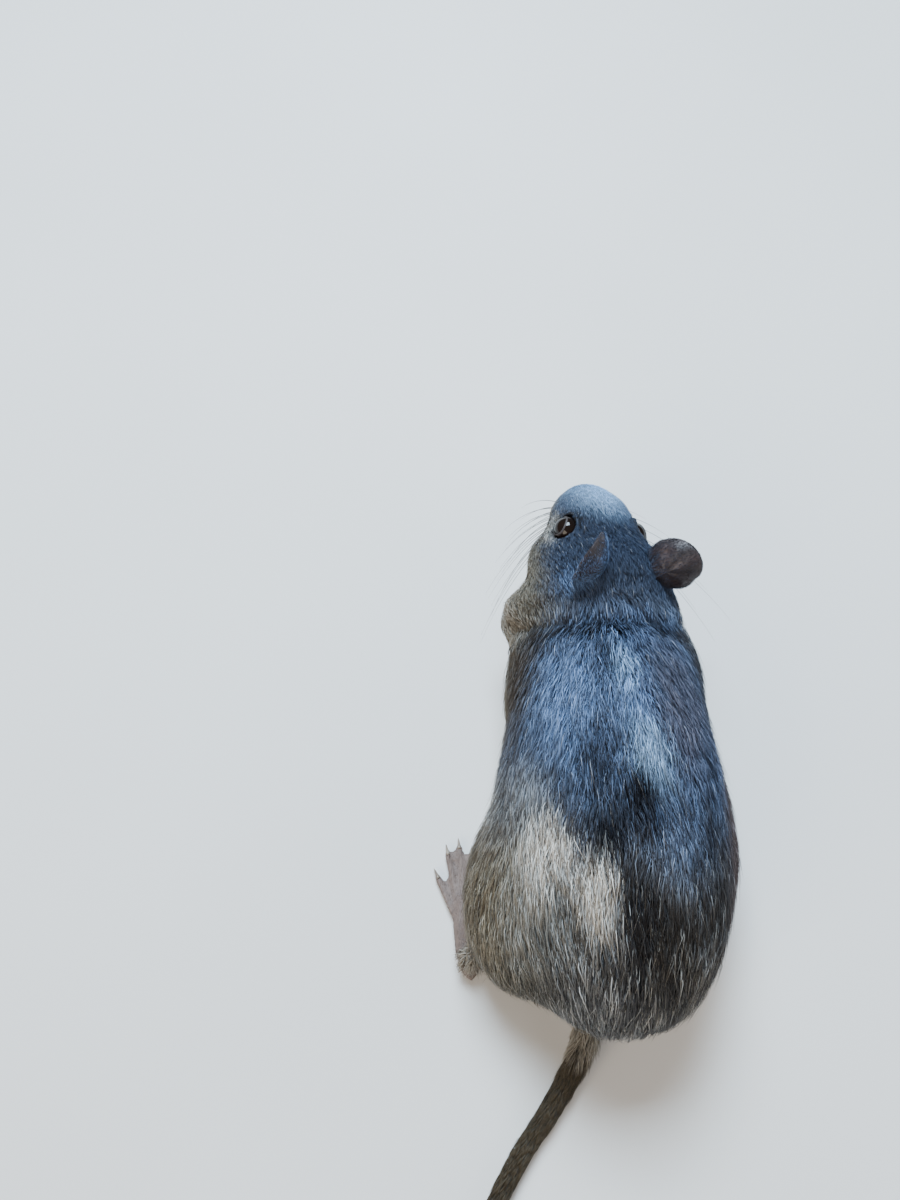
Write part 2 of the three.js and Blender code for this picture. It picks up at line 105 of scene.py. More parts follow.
def in_head(points):
    """Design points, in the head's own axes."""
    return points @ HEAD_INVERSE[:3, :3].T + HEAD_INVERSE[:3, 3]


def head_point(x, y, z):
    return to_part(np.array(HEAD @ Vector((x, y, z))))


def step(edge0, edge1, value):
    t = np.clip((value - edge0) / (edge1 - edge0), 0, 1)
    return t * t * (3 - 2 * t)


def lattice_noise(points, seed):
    """Smooth noise from 0 to 1 at each point, one unit between its lumps."""
    base = np.floor(points).astype(np.int64)
    part = points - base
    part = part * part * (3 - 2 * part)
    total = np.zeros(len(points))
    for corner in range(8):
        offset = np.array([corner & 1, corner >> 1 & 1, corner >> 2])
        cell = base + offset
        mixed = cell[:, 0] * 73856093 ^ cell[:, 1] * 19349663 ^ cell[:, 2] * 83492791 ^ seed * 2654435761
        mixed = (mixed ^ mixed >> 13) * 1274126177 & 0x7FFFFFFF
        weight = np.prod(np.where(offset, part, 1 - part), axis=1)
        total += weight * ((mixed ^ mixed >> 16) & 0xFFFF) / 0xFFFF
    return total


# The camera stands over the tail and looks down along the back.
CAMERA_AIM = (38.0, -45.0, 30.0)
CAMERA_DISTANCE = 275.0
CAMERA_DROP = math.radians(66)
LENS = 30.0


def add_camera():
    data = bpy.data.cameras.new("camera")
    data.lens = LENS
    data.sensor_width = 36
    data.sensor_fit = "AUTO"
    data.clip_start = 0.005
    camera = bpy.data.objects.new("camera", data)
    bpy.context.scene.collection.objects.link(camera)
    forward = Vector((0, -math.cos(CAMERA_DROP), -math.sin(CAMERA_DROP)))
    up = Vector((0, -math.sin(CAMERA_DROP), math.cos(CAMERA_DROP)))
    turn = Matrix((Vector((-1, 0, 0)), up, -forward)).transposed()
    place = to_part(np.array(Vector(CAMERA_AIM) - forward * CAMERA_DISTANCE))
    camera.matrix_world = Matrix.Translation(Vector(place)) @ turn.to_4x4()
    bpy.context.scene.camera = camera


def add_light(name, place, aim, size, power, colour):
    data = bpy.data.lights.new(name, "AREA")
    data.size = size
    data.energy = power
    data.color = colour
    light = bpy.data.objects.new(name, data)
    bpy.context.scene.collection.objects.link(light)
    light.location = place
    light.rotation_euler = (Vector(aim) - Vector(place)).to_track_quat("-Z", "Y").to_euler()


# Lights: name, place and aim in metres, size, power in watts, and colour
LIGHTS = (
    ("window", (0.08, -0.45, 0.72), (0, -0.02, 0.03), 0.36, 20, (0.66, 0.83, 1.0)),
    ("fill", (0.5, 0.5, 0.5), (0, 0.02, 0.03), 0.5, 5.5, (1.0, 0.88, 0.72)),
    ("side", (-0.6, 0.1, 0.3), (0, 0, 0.03), 0.6, 2, (0.95, 0.95, 1.0)),
)
ROOM_COLOUR = (0.85, 0.87, 0.9, 1)
ROOM_STRENGTH = 0.24


def add_studio():
    for light in LIGHTS:
        add_light(*light)
    world = bpy.data.worlds.new("studio")
    bpy.context.scene.world = world
    world.use_nodes = True
    background = world.node_tree.nodes["Background"]
    background.inputs["Color"].default_value = ROOM_COLOUR
    background.inputs["Strength"].default_value = ROOM_STRENGTH


# Materials
class Value:
    """A socket in a material. Sums and products of it add Math nodes."""

    def __init__(self, paint, socket):
        self.paint = paint
        self.socket = socket

    def math(self, operation, other):
        return self.paint.node("ShaderNodeMath", {"operation": operation}, {0: self, 1: other})

    def __add__(self, other):
        return self.math("ADD", other)

    def __mul__(self, other):
        return self.math("MULTIPLY", other)

    __radd__ = __add__
    __rmul__ = __mul__


class Paint:
    def __init__(self, name):
        self.material = bpy.data.materials.new(name)
        self.material.use_nodes = True
        self.tree = self.material.node_tree
        self.shader = self.tree.nodes["Principled BSDF"]

    def put(self, socket, value):
        if isinstance(value, Value):
            self.tree.links.new(value.socket, socket)
        else:
            socket.default_value = value

    def node(self, kind, settings, inputs, output=0):
        node = self.tree.nodes.new(kind)
        for name, value in settings.items():
            setattr(node, name, value)
        for name, value in inputs.items():
            self.put(node.inputs[name], value)
        return Value(self, node.outputs[output])

    def ramp(self, factor, stops):
        node = self.tree.nodes.new("ShaderNodeValToRGB")
        while len(node.color_ramp.elements) < len(stops):
            node.color_ramp.elements.new(1)
        for element, (place, colour) in zip(node.color_ramp.elements, stops):
            element.position = place
            element.color = (*colour, 1)
        self.put(node.inputs[0], factor)
        return Value(self, node.outputs[0])

    def noise(self, scale, detail=2.0, stretch=(1, 1, 1)):
        where = self.node("ShaderNodeTexCoord", {}, {}, "Object")
        where = self.node("ShaderNodeMapping", {}, {"Vector": where, "Scale": stretch})
        return self.node("ShaderNodeTexNoise", {}, {"Vector": where, "Scale": scale, "Detail": detail})

    def attribute(self, name, output="Fac"):
        return self.node("ShaderNodeAttribute", {"attribute_name": name}, {}, output)

    def scaled(self, colour, factor):
        return self.node("ShaderNodeVectorMath", {"operation": "SCALE"}, {0: colour, "Scale": factor})

    def bumped(self, height, strength, distance):
        inputs = {"Height": height, "Strength": strength, "Distance": distance}
        return self.node("ShaderNodeBump", {}, inputs)

    def finish(self, **sockets):
        for name, value in sockets.items():
            self.put(self.shader.inputs[name.replace("_", " ")], value)
        return self.material


def skin_paint():
    paint = Paint("skin_under_coat")
    grain = paint.noise(900, 3.0)
    colour = paint.scaled(paint.attribute("shade", "Color"), 0.55 + grain * 0.5)
    bump = paint.bumped(grain, 0.35, 0.0003)
    return paint.finish(Base_Color=colour, Roughness=0.62, Specular_IOR_Level=0.3, Normal=bump)


# Place along a hair, and how light it is there
HAIR_BANDS = ((0.0, 0.42), (0.35, 0.8), (0.75, 1.12), (1.0, 0.95))


def coat_paint():
    """Each hair is dark at the root, with a pale band before a darker tip, as agouti hairs are."""
    paint = Paint("coat")
    along = paint.attribute("along")
    lot = paint.attribute("lot")
    band = paint.ramp(along, [(place, (light,) * 3) for place, light in HAIR_BANDS])
    light = paint.node("ShaderNodeSeparateColor", {}, {0: band})
    colour = paint.scaled(paint.attribute("shade", "Color"), light)
    colour = paint.scaled(colour, 0.7 + lot * 0.6)
    return paint.finish(Base_Color=colour, Roughness=0.55, Specular_IOR_Level=0.2)


def ear_paint():
    paint = Paint("ear_skin")
    blotch = paint.noise(260, 3.0)
    colour = paint.ramp(blotch, [(0.3, (0.018, 0.013, 0.014)), (0.7, (0.048, 0.031, 0.031))])
    grain = paint.noise(1600, 2.0)
    return paint.finish(Base_Color=colour, Roughness=0.5, Normal=paint.bumped(grain, 0.3, 0.0002))


def eye_paint():
    paint = Paint("eye")
    depth = paint.noise(180, 1.0)
    colour = paint.ramp(depth, [(0.3, (0.003, 0.002, 0.002)), (0.8, (0.014, 0.007, 0.004))])
    return paint.finish(Base_Color=colour, Roughness=0.05, IOR=1.34)


def lid_paint():
    paint = Paint("lid_skin")
    grain = paint.noise(1500, 2.0)
    colour = paint.ramp(grain, [(0.3, (0.012, 0.009, 0.009)), (0.7, (0.04, 0.028, 0.026))])
    return paint.finish(Base_Color=colour, Roughness=0.65, Normal=paint.bumped(grain, 0.4, 0.0002))


def nose_paint():
    paint = Paint("nose_skin")
    grain = paint.noise(1300, 3.0)
    colour = paint.ramp(grain, [(0.3, (0.11, 0.062, 0.06)), (0.7, (0.2, 0.115, 0.105))])
    return paint.finish(Base_Color=colour, Roughness=0.36, Normal=paint.bumped(grain, 0.5, 0.0003))


def claw_paint():
    paint = Paint("claw_horn")
    grain = paint.noise(700, 2.0, (1, 0.2, 1))
    colour = paint.ramp(grain, [(0.3, (0.13, 0.1, 0.08)), (0.7, (0.32, 0.26, 0.2))])
    return paint.finish(Base_Color=colour, Roughness=0.3)


def whisker_paint():
    paint = Paint("whisker_hair")
    along = paint.attribute("along")
    colour = paint.ramp(along, [(0.0, (0.02, 0.017, 0.015)), (1.0, (0.3, 0.28, 0.26))])
    return paint.finish(Base_Color=colour, Roughness=0.3)


def floor_paint():
    paint = Paint("floor")
    colour = paint.ramp(paint.noise(6, 2.0), [(0.3, (0.66, 0.64, 0.61)), (0.7, (0.7, 0.68, 0.65))])
    return paint.finish(Base_Color=colour, Roughness=0.8)


# Meshes
def points_of(mesh):
    out = np.empty(len(mesh.vertices) * 3)
    mesh.vertices.foreach_get("co", out)
    return out.reshape(-1, 3)


def normals_of(mesh):
    out = np.empty(len(mesh.vertices) * 3, dtype=np.float32)
    mesh.vertex_normals.foreach_get("vector", out)
    return out.reshape(-1, 3).astype(float)


def set_points(mesh, points):
    mesh.vertices.foreach_set("co", np.ascontiguousarray(points, dtype=np.float32).ravel())
    mesh.update()


def new_object(name, mesh):
    made = bpy.data.objects.new(name, mesh)
    bpy.context.scene.collection.objects.link(made)
    return made


def only(obj):
    bpy.ops.object.select_all(action="DESELECT")
    obj.select_set(True)
    bpy.context.view_layer.objects.active = obj


def finish_piece(obj, material, slot, *nodes):
    obj.data.materials.clear()
    obj.data.materials.append(material)
    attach(obj, "root")
    if nodes:
        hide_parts(*nodes)
    return obj


def add_attribute(mesh, name, values):
    kind = "FLOAT_COLOR" if values.ndim == 2 else "FLOAT"
    layer = mesh.attributes.new(name, kind, "POINT")
    if kind == "FLOAT_COLOR":
        values = np.column_stack([values, np.ones(len(values))])
    field = "color" if kind == "FLOAT_COLOR" else "value"
    layer.data.foreach_set(field, values.astype(np.float32).ravel())


def smooth_all(mesh):
    mesh.polygons.foreach_set("use_smooth", [True] * len(mesh.polygons))


# The body's regions, as shares from 0 to 1 at each design point
TAIL_ROUTE = [
    (2, 57), (5, 68), (12, 80), (21, 92), (28.5, 105), (33.5, 120), (34.5, 136), (31.5, 151), (25.5, 165),
]
TAIL_FROM = 68
TAIL_REACH = 9  # further than this from its route, or above TAIL_TOP, nothing is tail
TAIL_TOP = 15
TUFT_FROM = 143
ROUTE_STEPS = 12
ROUTE_LOT = 40000  # points compared with the route at one time


def route_points():
    """The tail's line on the floor plan, in short straight steps."""
    ends = [2 * np.array(TAIL_ROUTE[0]) - TAIL_ROUTE[1], *map(np.array, TAIL_ROUTE)]
    ends.append(2 * ends[-1] - ends[-2])
    out = []
    for a, b, c, d in zip(ends, ends[1:], ends[2:], ends[3:]):
        for t in np.linspace(0, 1, ROUTE_STEPS, endpoint=False):
            bend = (2 * a - 5 * b + 4 * c - d) * t * t + (3 * b - a - 3 * c + d) * t ** 3
            out.append((2 * b + (c - a) * t + bend) / 2)
    return np.array(out)


ROUTE = route_points()
ROUTE_WAY = np.gradient(ROUTE, axis=0)
ROUTE_WAY /= np.linalg.norm(ROUTE_WAY, axis=1, keepdims=True)


def nearest_on_route(p):
    """Which of the route's points is nearest to each design point."""
    lots = np.array_split(p, len(p) // ROUTE_LOT + 1)
    found = [np.argmin(((lot[:, None, :2] - ROUTE[None]) ** 2).sum(2), axis=1) for lot in lots]
    return np.concatenate(found)


def regions(p):
    """The share of each region at design points p."""
    h = in_head(p)
    nearest = nearest_on_route(p)
    off = np.linalg.norm(p[:, :2] - ROUTE[nearest], axis=1)
    tail = step(TAIL_FROM - 5, TAIL_FROM + 3, p[:, 1]) * (off < TAIL_REACH) * (p[:, 2] < TAIL_TOP)
    head = step(13, 5, h[:, 1]) * step(-26, -20, h[:, 2])
    return {
        "head": head,
        "muzzle": head * step(-14, -23, h[:, 1]),
        "nose": nose_share(h),
        "tail": tail,
        "tuft": tail * step(TUFT_FROM - 20, TUFT_FROM + 6, p[:, 1]),
        "foot": step(7.5, 4.2, p[:, 2]) * (1 - tail),
        "leg": step(16, 8, p[:, 2]) * (1 - tail),
        "rump": step(15, 45, p[:, 1]) * (1 - tail),
        "way": ROUTE_WAY[nearest],
        "head_place": h,
    }


def nose_share(h):
    """1 on the bare pad of the nose, in the head's axes."""
    off = np.hypot(h[:, 0] / (NOSE_PAD[0] + 0.3), (h[:, 2] - NOSE_HEIGHT) / (NOSE_PAD[2] + 0.3))
    return step(1.08, 0.88, off) * (h[:, 1] < -NOSE_REACH + 6)


REGION_ORDER = ("rump", "leg", "foot", "head", "muzzle", "tail", "tuft")
COAT_DEPTH = {"body": 3.0, "head": 1.3, "muzzle": 0.6, "tail": 0.9, "tuft": 2.0, "leg": 1.8, "foot": 0.12}


def by_region(where, sizes):
    """One size for each region, blended where regions meet."""
    out = np.full(len(where["head"]), float(sizes["body"]))
    for name in REGION_ORDER:
        if name in sizes:
            out += (sizes[name] - out) * where[name]
    return out


# The coat's colours, linear. The blue in them is painted cool window light over a grey coat, and some
# stand for light or shade outright, as said at each.
# the back's grey, its blue tint painted cool window light
SLATE = (0.074, 0.1, 0.162)
# painted light: the coat's blue-grey where the cool window light falls full on it
WINDOW_LIT_SLATE = (0.18, 0.28, 0.49)
# painted highlight: the glint of the cool window light on the coat
WINDOW_GLINT = (0.4, 0.61, 0.88)
# a greyer blue-grey, its blue tint painted cool window light
DUSK = (0.13, 0.13, 0.175)
# the dark crown's colour, partly painted shade, and laid as painted shade elsewhere
CROWN_AND_PAINTED_SHADE = (0.036, 0.05, 0.084)
# near-black of the dark markings, also used for painted shade at the nape and below it
NAVY = (0.005, 0.007, 0.013)
UMBER = (0.022, 0.018, 0.015)
CREAM = (0.74, 0.71, 0.65)
GREY_CREAM = (0.33, 0.34, 0.335)
AGOUTI = (0.1, 0.09, 0.075)
OLIVE = (0.25, 0.215, 0.155)
# painted shade: the warm brown of the coat in shadow
PAINTED_SHADE_BROWN = (0.07, 0.058, 0.047)
BELLY = (0.38, 0.335, 0.275)
TAIL_BROWN = (0.06, 0.047, 0.03)
TAIL_BLACK = (0.01, 0.009, 0.01)
# the bare feet's pink, darkened as painted shade
SHADED_FOOT_PINK = (0.17, 0.115, 0.098)
ROSY = (0.15, 0.105, 0.095)
EAR_DOWN = (0.035, 0.027, 0.028)

# Patches on the back, seen from above: middle, half widths, lean in degrees, colour and strength. Some
# are markings, some are painted light, painted highlights or painted shade, as said above them.
PATCHES = {
    # painted shade: the left side of the neck and shoulder in shadow
    "left_neck_painted_shade": ((21, -32), (6.5, 24), 0, PAINTED_SHADE_BROWN, 0.9),
    # painted light: the window's light on the shoulders
    "left_shoulder_painted_light": ((8.5, -10), (6.5, 15), -6, WINDOW_LIT_SLATE, 0.95),
    "shoulder_painted_light_streak": ((-5, -12), (5, 15), 6, WINDOW_LIT_SLATE, 1.0),
    # painted highlight
    "shoulder_glint": ((-4.5, -17), (2.6, 7), 0, WINDOW_GLINT, 0.7),
    "right_shoulder": ((-17, -8), (7, 18), 0, DUSK, 0.75),
    # painted shade: below the crease of the nape, and in the middle of the back
    "spine_painted_shade": ((-0.8, -20), (2.0, 6.5), 0, NAVY, 0.75),
    "middle_painted_shade": ((3.8, 7.5), (4.2, 8), 0, CROWN_AND_PAINTED_SHADE, 0.75),
    # painted highlight
    "right_glint": ((-8.0, 6), (4.2, 9), 10, WINDOW_GLINT, 0.7),
    "left_side_grey": ((20, 17), (7, 13), 0, GREY_CREAM, 0.6),
    "middle_blotch": ((-5.0, 17), (4.2, 8.0), 8, NAVY, 1.0),
    "small_blotch": ((2.4, 24.5), (3.6, 7), -6, NAVY, 0.9),
    # painted light: the window's light on the right haunch
    "right_haunch_painted_light": ((-14, 24), (7, 12), 0, WINDOW_LIT_SLATE, 0.3),
    "right_flank_streaks": ((-22, 34), (5, 18), 0, UMBER, 0.5),
    "long_streak": ((-4.6, 46), (4.2, 16), 4, NAVY, 1.0),
    "right_rump": ((-10, 50), (8, 13), 0, UMBER, 0.95),
    "left_haunch": ((26, 40), (12, 20), 0, OLIVE, 0.95),
    "haunch_pale": ((17, 41), (8, 14), 0, GREY_CREAM, 0.5),
    "cream_patch": ((15.0, 27.5), (5.6, 9), 0, CREAM, 1.0),
    "cream_streak": ((5.4, 37), (3.8, 8.5), 0, CREAM, 1.0),
}
NAPE_Y = -32.5
NAPE_TOP = 42
NAPE_LEAN = 0.28
NAPE_SHADOW_BEHIND = (0, 2.5, 0)  # the painted shadow of the crease shows this far behind the crease itself
WINDOW_LIT_HEIGHTS = (17, 46)  # the blue-grey of the back, the coat's grey with painted cool window light on it, comes in between these heights
PATCH_FADES = (16, 28)  # heights between which the back's patches fade out down the sides


def soft_patch(p, middle, half, lean):
    c = math.cos(math.radians(lean))
    s = math.sin(math.radians(lean))
    dx = p[:, 0] - middle[0]
    dy = p[:, 1] - middle[1]
    return step(1.5, 0.4, np.hypot((dx * c + dy * s) / half[0], (dy * c - dx * s) / half[1]))


def blend_colour(colour, other, share):
    return colour + (np.array(other) - colour) * share[:, None]


def nape_share(p):
    """The crease where the neck folds behind the raised head: carved into the skin, and darkened in the
    coat as painted shade.
    """
    line = NAPE_Y - NAPE_LEAN * (NAPE_TOP - p[:, 2])
    return np.exp(-((p[:, 1] - line) / 2.1) ** 2) * step(25, 33, p[:, 2])


def coat_streaks(p):
    """Noise drawn out along the body: broad streaks, fine ones, and both together."""
    streak = lattice_noise(p * (0.55, 0.11, 0.4), SEED)
    fine = lattice_noise(p * (1.5, 0.22, 1.1), SEED + 1)
    broken = np.clip(0.55 + 0.9 * (streak - 0.5) + 0.7 * (fine - 0.5), 0, 1)
    return streak, fine, broken


def ground_colour(p, streak, broken):
    """The blue-grey over the top of the back, painted cool window light on the coat's grey, over the
    streaked brown of the sides.
    """
    back = step(8, 42, p[:, 1])
    # painted light: the top of the back turns blue-grey where the cool window light falls
    window_lit_top = step(*WINDOW_LIT_HEIGHTS, p[:, 2] + 5 * (streak - 0.5)) * (1 - 0.85 * back)
    colour = blend_colour(np.tile(AGOUTI, (len(p), 1)), SLATE, window_lit_top)
    # painted sheen: pale blue streaks where the window light catches clumped hair on the top
    colour = blend_colour(colour, WINDOW_LIT_SLATE, window_lit_top * step(0.45, 0.85, broken) * 0.6)
    warm = 1 - window_lit_top
    colour = blend_colour(colour, UMBER, warm * step(0.6, 0.2, broken) * 0.85)
    return blend_colour(colour, GREY_CREAM, warm * step(0.5, 0.85, broken) * 0.4)


def back_markings(colour, p, fine, broken):
    """The patches, some of them painted light and painted shade, the pale streaks of the rump, fine dark
    ones, and the painted shade in the crease of the nape.
    """
    high = step(*PATCH_FADES, p[:, 2])
    for middle, half, lean, patch, strength in PATCHES.values():
        share = soft_patch(p, middle, half, lean) * strength * high
        colour = blend_colour(colour, patch, (share * (0.2 + 1.4 * broken)).clip(0, 1))
    colour = blend_colour(colour, CREAM, step(40, 60, p[:, 1]) * step(0.62, 0.85, broken) * 0.4)
    colour = blend_colour(colour, UMBER, step(0.46, 0.2, fine) * high * 0.5)
    # painted shade: near-black in and just behind the crease of the nape, which lies in shadow
    return blend_colour(colour, NAVY, nape_share(p - NAPE_SHADOW_BEHIND) * 0.95)


def side_markings(colour, p, off_tail):
    """The rosy right edge of the back, and the sides paling towards the belly."""
    rim = step(-23, -33, p[:, 0]) * step(50, 38, p[:, 2]) * step(-12, 8, p[:, 1]) * off_tail
    colour = blend_colour(colour, ROSY, rim * 0.9)
    low = step(30, 14, p[:, 2]) * off_tail
    colour = blend_colour(colour, OLIVE, low * 0.4)
    colour = blend_colour(colour, ROSY, low * step(-22, -33, p[:, 0]) * 0.6)
    return blend_colour(colour, BELLY, step(15, 8, p[:, 2]) * off_tail * 0.8)


def markings(p, where):
    """The coat's colour at design points p, with painted window light and painted shade in it: skin and
    hair both take it from here.
    """
    streak, fine, broken = coat_streaks(p)
    colour = ground_colour(p, streak, broken)
    colour = back_markings(colour, p, fine, broken)
    colour = side_markings(colour, p, 1 - where["tail"])
    colour = head_markings(colour, where)
    colour = blend_colour(colour, SHADED_FOOT_PINK, where["foot"] * 0.85)
    tail = np.array(TAIL_BROWN) * (0.7 + 0.6 * fine[:, None])
    colour = colour + (tail - colour) * where["tail"][:, None]
    return blend_colour(colour, TAIL_BLACK, where["tuft"] * 0.95)


def head_markings(colour, where):
    """The painted glint of window light on the muzzle, the head's top blue-grey with painted window
    light, the dark crown with painted shade, pale cheeks, the pale by the ears that is painted light on
    the left, and the rings round the eyes and nose.
    """
    h = where["head_place"]
    head = where["head"]
    side = np.abs(h[:, 0])
    left = step(-4, 4, h[:, 0])
    top = step(-3, 5, h[:, 2])
    colour = blend_colour(colour, AGOUTI, head * 0.8)
    # painted light: the head's top turns blue-grey, the coat with cool window light on it
    colour = blend_colour(colour, SLATE, head * top * 0.8)
    # the dark crown, partly painted shade
    colour = blend_colour(colour, CROWN_AND_PAINTED_SHADE, head * step(-20, -9, h[:, 1]) * top * 0.85)
    # painted highlight: the window's glint on the top of the muzzle
    glint = np.hypot(h[:, 0] / 8.5, (h[:, 1] + 25) / 11.5)
    colour = blend_colour(colour, WINDOW_GLINT, head * step(1.4, 0.2, glint) * step(-3, 4, h[:, 2]))
    colour = blend_colour(colour, OLIVE, head * step(2, -7, h[:, 2]) * 0.55)
    colour = blend_colour(colour, BELLY, head * step(-6, -12, h[:, 2]) * 0.75)
    # pale round the ears' stems, and far paler on the left as painted light
    by_ear = np.exp(-((side - 13.5) / 4.5) ** 2 - ((h[:, 1] - 6.5) / 3) ** 2) * step(0, 4, h[:, 2])
    colour = blend_colour(colour, WINDOW_LIT_SLATE, by_ear * (0.15 + 0.65 * left))
    from_eye = np.linalg.norm(np.column_stack([side, h[:, 1:]]) - EYE_PLACE, axis=1)
    under = step(EYE_PLACE[2] + 1, EYE_PLACE[2] - 2.5, h[:, 2])
    ring = np.exp(-((from_eye - EYE_RADIUS - 2.4) / 1.1) ** 2)
    colour = blend_colour(colour, CREAM, head * ring * under * 0.55)
    lid_edge = step(EYE_RADIUS + 2.0, EYE_RADIUS + 0.6, from_eye)
    colour = blend_colour(colour, UMBER, head * lid_edge * 0.9)
    return blend_colour(colour, ROSY, nose_share(h * (0.66, 1, 1) + (0, 0, 0.6)) * 0.8)


# The skin
VOXEL = 0.66 * MM
CRACK = 0.45 * MM  # each piece is swelled this much, so that the cuts between pieces close
SLACK = {"body": 0.62, "head": 0.6, "muzzle": 0.5, "tail": 0.5, "tuft": 0.5, "leg": 0.5, "foot": 0.25}
FIRST_ROUNDS = 26
LAST_ROUNDS = 8
LOWEST_SKIN = 0.02 * MM


def flesh_copy(node):
    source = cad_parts[node]
    copy = new_object("flesh", source.data.copy())
    edit = bmesh.new()
    edit.from_mesh(copy.data)
    bmesh.ops.remove_doubles(edit, verts=edit.verts, dist=1e-6)
    edit.normal_update()
    for vertex in edit.verts:
        vertex.co += vertex.normal * CRACK
    edit.to_mesh(copy.data)
    edit.free()
    return copy


def joined_flesh():
    copies = [flesh_copy(node) for node in BODY_FLESH + LIMB_FLESH + TAIL_FLESH]
    bpy.ops.object.select_all(action="DESELECT")
    for copy in copies:
        copy.select_set(True)
    bpy.context.view_layer.objects.active = copies[0]
    bpy.ops.object.join()
    body = bpy.context.view_layer.objects.active
    body.name = "skin"
    body.data.name = "skin"
    remesh = body.modifiers.new("remesh", "REMESH")
    remesh.mode = "VOXEL"
    remesh.voxel_size = VOXEL
    only(body)
    bpy.ops.object.modifier_apply(modifier="remesh")
    return body


def keep_largest(mesh):
    """Drops closed pockets left between the pieces, keeping the outer skin."""
    edit = bmesh.new()
    edit.from_mesh(mesh)
    left = set(edit.verts)
    shells = []
    while left:
        queue = [left.pop()]
        shell = set(queue)
        while queue:
            vertex = queue.pop()
            for edge in vertex.link_edges:
                other = edge.other_vert(vertex)
                if other in left:
                    left.discard(other)
                    shell.add(other)
                    queue.append(other)
        shells.append(shell)
    best = max(shells, key=len)
    bmesh.ops.delete(edit, geom=[v for v in edit.verts if v not in best], context="VERTS")
    edit.to_mesh(mesh)
    edit.free()


def neighbours(mesh):
    edges = np.empty(len(mesh.edges) * 2, dtype=np.int32)
    mesh.edges.foreach_get("vertices", edges)
    return edges.reshape(-1, 2)


def pulled(points, edges, count, share):
    """Each point moved towards the mean of its neighbours by its own share."""
    total = np.zeros_like(points)
    for axis in range(3):
        total[:, axis] = np.bincount(edges[:, 0], points[edges[:, 1], axis], len(points))
        total[:, axis] += np.bincount(edges[:, 1], points[edges[:, 0], axis], len(points))
    return points + (total / count - points) * share[:, None]


SWELL = 1.03  # each round pushes out a little more than it drew in, so that forms keep their size


def relaxed(points, edges, share, rounds):
    """Smooths away facets and steps without wasting the form."""
    count = np.maximum(np.bincount(edges.ravel(), minlength=len(points)), 1)[:, None]
    for _ in range(rounds):
        points = pulled(points, edges, count, share)
        points = pulled(points, edges, count, share * -SWELL)
    return points


def eye_centre(side):
    place = head_point(side * EYE_PLACE[0], EYE_PLACE[1], EYE_PLACE[2])
    return place - eye_axis(side) * EYE_SET_BACK * MM


def eye_axis(side):
    """Out of the eye, in the part's axes."""
    outwards = Vector((side * EYE_OUT[0], EYE_OUT[1], EYE_OUT[2])).normalized()
    return np.array(HEAD.to_3x3() @ outwards)


def seen_from_eye(points, side):
    """Each point's distance and way from an eye's middle, and its angle off the eye's axis."""
    off = points - eye_centre(side)
    far = np.linalg.norm(off, axis=1)
    unit = off / np.maximum(far, 1e-9)[:, None]
    return far, unit, np.arccos(np.clip(unit @ eye_axis(side), -1, 1))


BROADEN = 0.17
LID_OPENING = math.radians(52)
LID_WIDTH = math.radians(36)
LID_GAP = 0.3
LID_FOLD = 0.5
EYE_POCKET = 1.2  # how far under the eye's surface the skin passes behind it
EYE_REACH = 9.5  # how far from an eye's middle its lids draw the skin in


def set_lids(points):
    """The skin closes round each eye as a low lid, and passes behind it in the opening."""
    for _, side in SIDES:
        centre = eye_centre(side)
        far, unit, angle = seen_from_eye(points, side)
        near = far < EYE_REACH * MM
        inside = near & (angle < LID_OPENING)
        points[inside] = centre + unit[inside] * (EYE_RADIUS - EYE_POCKET) * MM
        rim = near & ~inside & (angle < LID_OPENING + LID_WIDTH)
        share = step(LID_OPENING + LID_WIDTH, LID_OPENING, angle[rim])
        share = share * step(EYE_REACH, EYE_REACH - 3, far[rim] / MM)
        tight = (EYE_RADIUS + LID_GAP) * MM
        fold = LID_FOLD * MM * 4 * share * (1 - share)
        reach = far[rim] + (tight - far[rim]) * share + fold
        points[rim] = centre + unit[rim] * reach[:, None]
    return points


def broadened(points, where):
    """The forehead and cheeks stand wider than the bones of the face."""
    h = where["head_place"]
    share = where["head"] * step(-31, -22, h[:, 1]) * step(12, -2, h[:, 1])
    across = np.array(HEAD.to_3x3() @ Vector((1, 0, 0)))
    return points + np.outer(BROADEN * share * h[:, 0] * MM, across)


MOUTH_HEIGHT = -9.6
MOUTH_DEPTH = 0.75
CLEFT_DEPTH = 0.7
NAPE_DEPTH = 1.7


def carve(points, normals):
    """Mouth line, the cleft under the nose, and the crease of the nape."""
    p = to_design(points)
    h = in_head(p)
    side = np.abs(h[:, 0])
    front = step(-14, -18, h[:, 1])
    mouth_line = MOUTH_HEIGHT + 0.09 * side ** 1.3
    mouth = np.exp(-((h[:, 2] - mouth_line) / 0.75) ** 2) * front * step(9, 6, side)
    below_nose = step(-3.5, -5, h[:, 2]) * step(-10.5, -9, h[:, 2])
    cleft = np.exp(-(h[:, 0] / 0.55) ** 2) * step(-26, -29, h[:, 1]) * below_nose
    depth = MOUTH_DEPTH * mouth + CLEFT_DEPTH * cleft + NAPE_DEPTH * nape_share(p)
    return points - normals * depth[:, None] * MM


